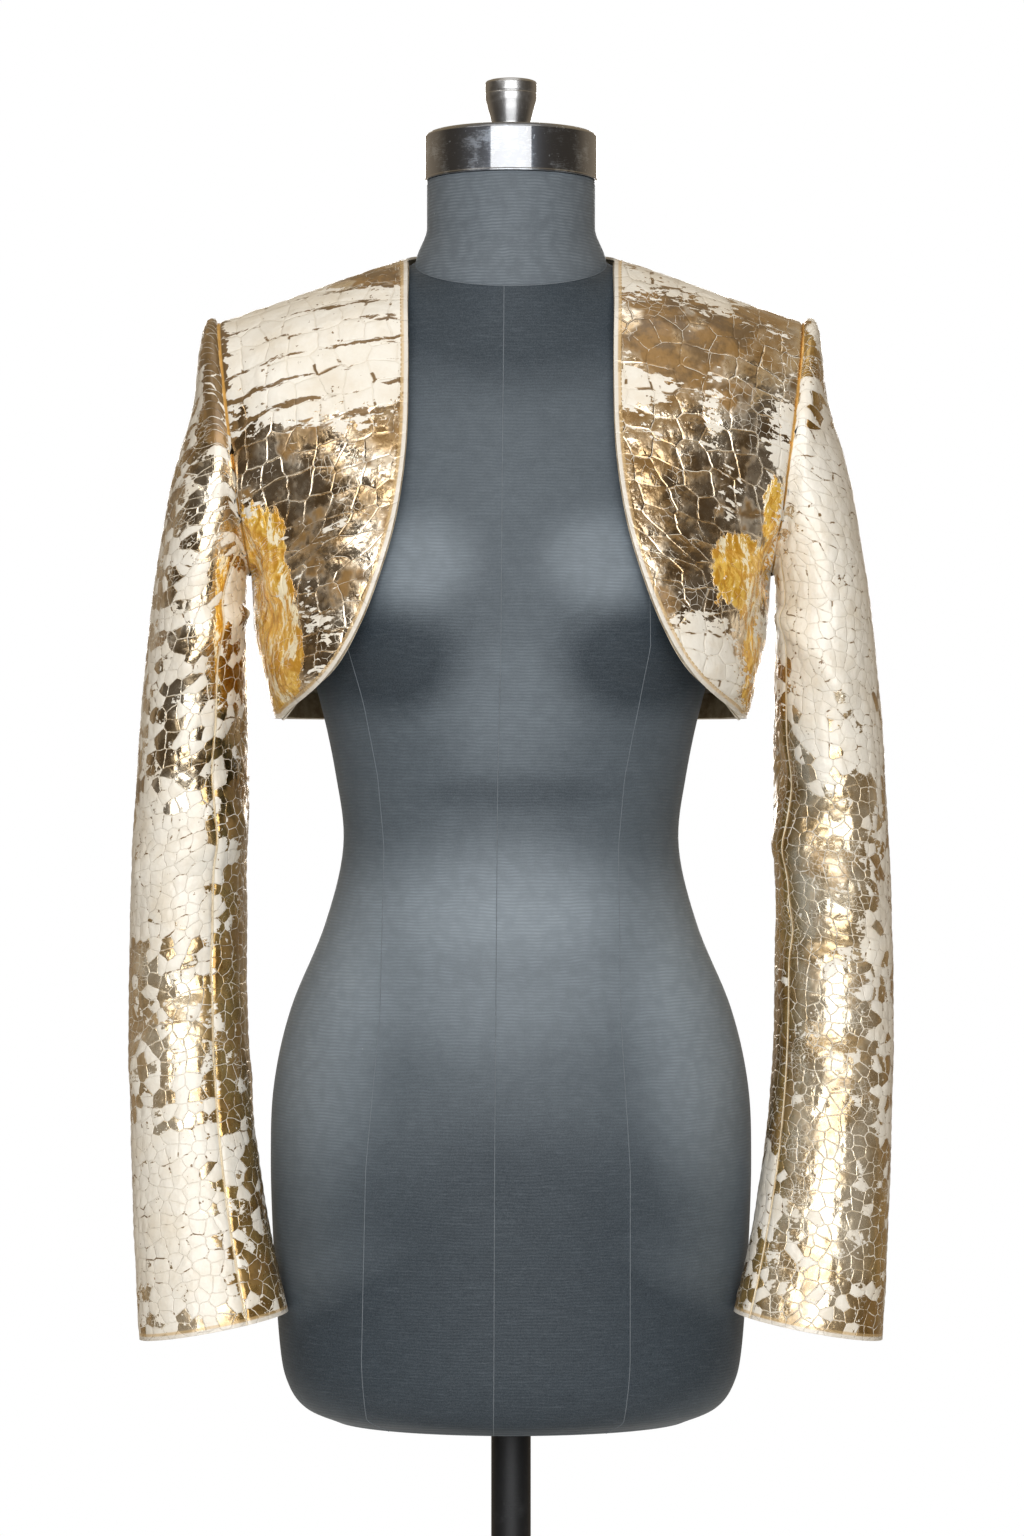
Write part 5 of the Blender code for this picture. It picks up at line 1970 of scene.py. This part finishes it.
@dataclass
class DressForm:
    """The jersey-covered torso and neck, and the thin lines of their seams."""

    wardrobe: Wardrobe
    segments: int = 224
    levels: int = 184
    neck_levels: int = 44
    neck_radius: float = 0.0560
    neck_top: float = 1.4104
    neck_flare: float = 0.45
    neck_foot_depth: float = 0.945
    socket_radius: float = 0.0135
    socket_depth: float = 0.0605
    seam_radius: float = 0.00028
    princess_top: float = 1.16
    bust_apart: float = 0.074
    bust_height: float = 1.135
    bust_reach: float = 0.050
    bust_rise: float = 0.003

    def build(self) -> None:
        """Makes the torso, the neck and their seams."""
        turn = np.linspace(0.0, 2 * math.pi, self.segments + 1)
        positions = np.linspace(0.0, len(FORM_RINGS) - 1.0, self.levels)
        rings = self.with_bust(form_rings(positions, turn))
        whole = self.with_socket(rings, turn)
        torso = self.closed_loft("form_torso_cover", whole, front_amount(whole, FORM_PAINTED_SHADING))
        self.wardrobe.dress(torso, "Form jersey")
        settle(torso, "form_jersey", "form_torso")
        neck_grid = self.neck_rings(rings[0], turn)
        neck = self.closed_loft("form_neck_cover", neck_grid, np.zeros(neck_grid.shape[:2]))
        self.wardrobe.dress(neck, "Neck jersey")
        settle(neck, "neck_jersey", "form_neck")
        self.build_seams(rings[0])

    def with_bust(self, rings: Array) -> Array:
        """The torso's rings, fuller at both sides of the bust."""
        across = (np.abs(rings[..., 0]) - self.bust_apart) / self.bust_reach
        away = np.hypot(across, (rings[..., 2] - self.bust_height) / self.bust_reach)
        fuller = rings.copy()
        fuller[..., 1] -= np.where(rings[..., 1] < 0, self.bust_rise * np.exp(-(away**2)), 0.0)
        return fuller

    def with_socket(self, rings: Array, turn: Array) -> Array:
        """The torso's rings with its bottom drawn in to the pole's socket."""
        last = rings[-1]
        centre = last.mean(axis=0)
        radius = self.socket_radius
        level = 0 * turn + last[0, 2]
        round_socket = np.stack([radius * np.cos(turn), radius * np.sin(turn), level], axis=-1)
        extra = []
        for share in (0.08, 0.2, 0.4, 0.6, 0.8, 1.0):
            ring = last * (1 - share) + round_socket * share
            ring[:, 2] = centre[2] - 0.0022 * math.sin(0.5 * math.pi * min(1.0, share * 1.6))
            extra.append(ring)
        top = extra[-1].copy()
        top[:, 2] = centre[2] + self.socket_depth
        return np.concatenate([rings, np.array(extra), top[None]])

    def neck_rings(self, seam: Array, turn: Array) -> Array:
        """The neck's rings, from its cap down to its leaning seam on the torso."""
        levels = []
        for share in np.linspace(1.0, 0.0, self.neck_levels):
            narrowed = fade(share / self.neck_flare)
            radius = self.neck_radius + (1 - narrowed) * (FORM_RINGS[0].half_width - self.neck_radius)
            depth = radius * (self.neck_foot_depth + (1 - self.neck_foot_depth) * narrowed)
            height = (seam[:, 2] + SEAM_GAP) * (1 - share) + self.neck_top * share
            levels.append(np.stack([radius * np.cos(turn), depth * np.sin(turn), height], axis=-1))
        return np.array(levels)

    def closed_loft(self, name: str, rings: Array, tone_with_painted_shading: Array) -> Piece:
        """A closed body through rings, listed from the top down, their last column on their first."""
        piece = grid_piece(name, rings, np.array((0.0, 0.0, 0.0)))
        # The tone attribute carries the painted light and shade of the torso's front.
        add_attribute(piece, "tone_with_painted_shading", tone_with_painted_shading)
        take(piece)
        bpy.ops.object.mode_set(mode="EDIT")
        bpy.ops.mesh.select_all(action="SELECT")
        bpy.ops.mesh.remove_doubles(threshold=1e-5)
        close_ends()
        bpy.ops.object.shade_smooth_by_angle(angle=math.radians(50))
        return piece

    def seam_path(self, name: str) -> Array:
        """Points of one seam, named by its column of FORM_SEAMS or by its entry in FORM_SEAM_ANGLES."""
        path = []
        rows = [row.position for row in FORM_SEAMS]
        for position in np.linspace(0.0, len(FORM_RINGS) - 1.0, 160):
            if name in FORM_SEAM_ANGLES:
                turn = math.radians(FORM_SEAM_ANGLES[name])
            else:
                ring = FormRing(*through(FORM_RINGS, position))
                x = np.interp(position, rows, [getattr(row, name) for row in FORM_SEAMS])
                turn = -math.acos(float(np.clip(x / ring.half_width, -0.99, 0.99)))
            path.append(self.with_bust(form_rings(np.array((position,)), np.array((turn,))))[0, 0])
        path = np.array(path)
        return path[path[:, 2] < self.princess_top] if name in ("left", "right") else path

    def build_seams(self, neck_seam: Array) -> None:
        """Thin cords that stand a little out of the jersey along each seam."""
        names = ("centre", "left", "right", *FORM_SEAM_ANGLES)
        paths = [self.seam_path(name) for name in names]
        paths.append(neck_seam[:-1] * np.array((1.003, 1.003, 1.0)))
        cords = cord("form_seam_lines", paths, self.seam_radius, [False] * len(names) + [True])
        self.wardrobe.dress(cords, "Seam thread")
        settle(cords, "form_jersey")


@dataclass
class TurnedPart:
    """A part turned on the pole's axis, drawn out ring by ring from a circle."""

    name: str
    profile: Sequence[tuple[float, float]]
    finish: str
    slot: str
    node: str
    segments: int = 128
    bevel: float = 0.0006

    def build(self, wardrobe: Wardrobe) -> None:
        """Extrudes a circle down the profile of radius and height, and fills both ends."""
        deselect_all()
        radius, height = self.profile[0]
        bpy.ops.mesh.primitive_circle_add(vertices=self.segments, radius=radius, location=(0.0, 0.0, height))
        piece = bpy.context.object
        bpy.ops.object.transform_apply(location=True, rotation=True, scale=True)
        bpy.ops.object.mode_set(mode="EDIT")
        bpy.ops.mesh.select_all(action="SELECT")
        for next_radius, next_height in self.profile[1:]:
            bpy.ops.mesh.extrude_region_move(
                TRANSFORM_OT_translate={"value": (0.0, 0.0, next_height - height)}
            )
            grow = next_radius / radius
            bpy.ops.transform.resize(value=(grow, grow, 1.0), center_override=(0.0, 0.0, next_height))
            radius, height = next_radius, next_height
        close_ends()
        piece.name = self.name
        piece.data.name = self.name
        bevelled(piece, self.bevel, 3, 28)
        apply_modifiers(piece)
        bpy.ops.object.shade_smooth_by_angle(angle=math.radians(40))
        wardrobe.dress(piece, self.finish)
        settle(piece, self.slot, self.node)


def hardware() -> tuple[TurnedPart, ...]:
    """The neck cap, its knob, the pole and the base."""
    cap = (
        (0.0020, 1.4450),
        (0.0200, 1.4446),
        (0.0400, 1.4434),
        (0.0548, 1.4424),
        (0.0566, 1.4412),
        (0.0577, 1.4398),
        (0.0577, 1.4122),
        (0.0581, 1.4118),
        (0.0581, 1.4108),
        (0.0566, 1.4107),
    )
    knob = (
        (0.0020, 1.4780),
        (0.0150, 1.4779),
        (0.0166, 1.4773),
        (0.0173, 1.4760),
        (0.0173, 1.4703),
        (0.0170, 1.4699),
        (0.0170, 1.4694),
        (0.0172, 1.4690),
        (0.0171, 1.4652),
        (0.0166, 1.4636),
        (0.0129, 1.4500),
        (0.0127, 1.4490),
        (0.0127, 1.4453),
    )
    pole = ((0.0132, 0.6457), (0.0132, 0.0143))
    base = (
        (0.0135, 0.0600),
        (0.0220, 0.0600),
        (0.0240, 0.0580),
        (0.0240, 0.0240),
        (0.0252, 0.0190),
        (0.0290, 0.0155),
        (0.0340, 0.0140),
        (0.1990, 0.0120),
        (0.2040, 0.0100),
        (0.2050, 0.0080),
        (0.2050, 0.0005),
        (0.2044, 0.0000),
    )
    return (
        TurnedPart("cap_band", cap, "Cap chrome", "cap_chrome", "neck_cap"),
        TurnedPart("cap_knob_turned", knob, "Knob steel", "knob_steel", "cap_knob", bevel=0.0003),
        TurnedPart("pole_tube", pole, "Stand iron", "stand_iron", "stand_pole"),
        TurnedPart("base_disc", base, "Stand iron", "stand_iron", "stand_base", segments=160),
    )


@dataclass
class Studio:
    """The camera, the soft lights, the surroundings and the pale floor."""

    camera_distance: float = 2.8
    camera_height: float = 1.02
    lens: float = 98.44
    aim_right: float = 0.00067

    def build(self) -> None:
        """Makes everything that isn't the object."""
        self.build_camera()
        self.build_world()
        self.build_lights()
        self.build_floor()
        bpy.context.scene.view_settings.view_transform = "Standard"
        bpy.context.scene.view_settings.look = "None"

    def build_camera(self) -> None:
        """A level camera in front of the object."""
        camera = bpy.data.cameras.new("Camera")
        camera.lens = self.lens
        camera.sensor_width = 36.0
        holder = placed("Camera", camera)
        holder.location = (self.aim_right, -self.camera_distance, self.camera_height)
        holder.rotation_euler = (math.radians(90), 0.0, 0.0)
        bpy.context.scene.camera = holder

    def build_world(self) -> None:
        """White behind the object, and a dim warm room all round for its reflections."""
        world = bpy.data.worlds.new("Studio")
        bpy.context.scene.world = world
        world.use_nodes = True
        bench = NodeBench(world.node_tree)
        _, away, up = bench.parts(bench.made("ShaderNodeTexCoord", output="Generated"))
        room = bench.colour(bench.step(away, 0.02, 0.58), (0.098, 0.080, 0.062), (0.36, 0.29, 0.21))
        for low, high, tint in (
            (0.34, 0.66, (0.44, 0.34, 0.21)),
            (0.72, 0.95, (0.36, 0.33, 0.29)),
            (-0.25, -0.8, (0.30, 0.27, 0.23)),
        ):
            room = bench.colour(bench.step(up, low, high), room, tint)
        background = world.node_tree.nodes["Background"]
        bench.put(background.inputs["Color"], room)
        white = bench.made("ShaderNodeBackground", {"Color": (1.0, 1.0, 1.0, 1.0)})
        seen = bench.made("ShaderNodeLightPath", output="Is Camera Ray")
        inputs = {0: seen, 1: Value(bench, background.outputs[0]), 2: white}
        mixed = bench.made("ShaderNodeMixShader", inputs)
        bench.put(world.node_tree.nodes["World Output"].inputs["Surface"], mixed)

    def add_softbox(
        self, name: str, place: tuple[float, float, float], target: tuple[float, float, float],
        size: tuple[float, float], power: float, tint: Colour = (1.0, 1.0, 1.0)
    ) -> None:
        """A rectangular soft light that looks at a target and isn't itself seen."""
        light = bpy.data.lights.new(name, "AREA")
        light.shape = "RECTANGLE"
        light.size, light.size_y = size
        light.energy = power
        light.color = tint
        holder = placed(name, light)
        holder.location = place
        aim = np.array(target) - np.array(place)
        flat = math.hypot(aim[0], aim[1])
        holder.rotation_euler = (math.atan2(flat, -aim[2]), 0.0, math.atan2(-aim[0], aim[1]))
        holder.visible_camera = False

    def build_lights(self) -> None:
        """A large soft light in front, one behind, one above and a small one high on the left."""
        middle = (0.0, 0.0, 1.05)
        self.add_softbox("Front", (0.0, -2.35, 1.40), (0.0, 0.0, 1.40), (2.4, 2.0), 58.0)
        self.add_softbox("Back", (0.0, 2.6, 1.5), middle, (1.6, 1.0), 30.0)
        self.add_softbox("Top", (0.0, -0.6, 3.2), middle, (1.6, 1.2), 8.0)
        self.add_softbox("High left", (-1.52, -1.20, 2.49), (-0.12, -0.10, 1.20), (0.9, 0.5), 4.0)

    def build_floor(self) -> None:
        """A pale round floor that fades out before the horizon."""
        deselect_all()
        place = (0.0, 0.0, -0.0005)
        bpy.ops.mesh.primitive_circle_add(vertices=96, radius=3.2, fill_type="NGON", location=place)
        floor = bpy.context.object
        floor.name = "Floor"
        floor.data.materials.append(PaleFloor("Pale floor").material())


def main() -> None:
    """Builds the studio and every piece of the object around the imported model."""
    logging.basicConfig(level=logging.INFO, format="%(name)s: %(message)s")
    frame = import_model()
    log.info("%d CAD nodes", len(frame["nodes"]))
    deselect_all()
    Studio().build()
    wardrobe = Wardrobe()
    work = LeatherWork(wardrobe)
    Bodice(work).build()
    Sleeves(work).build()
    DressForm(wardrobe).build()
    for part in hardware():
        part.build(wardrobe)
    deselect_all()


if __name__ == "__main__":
    main()
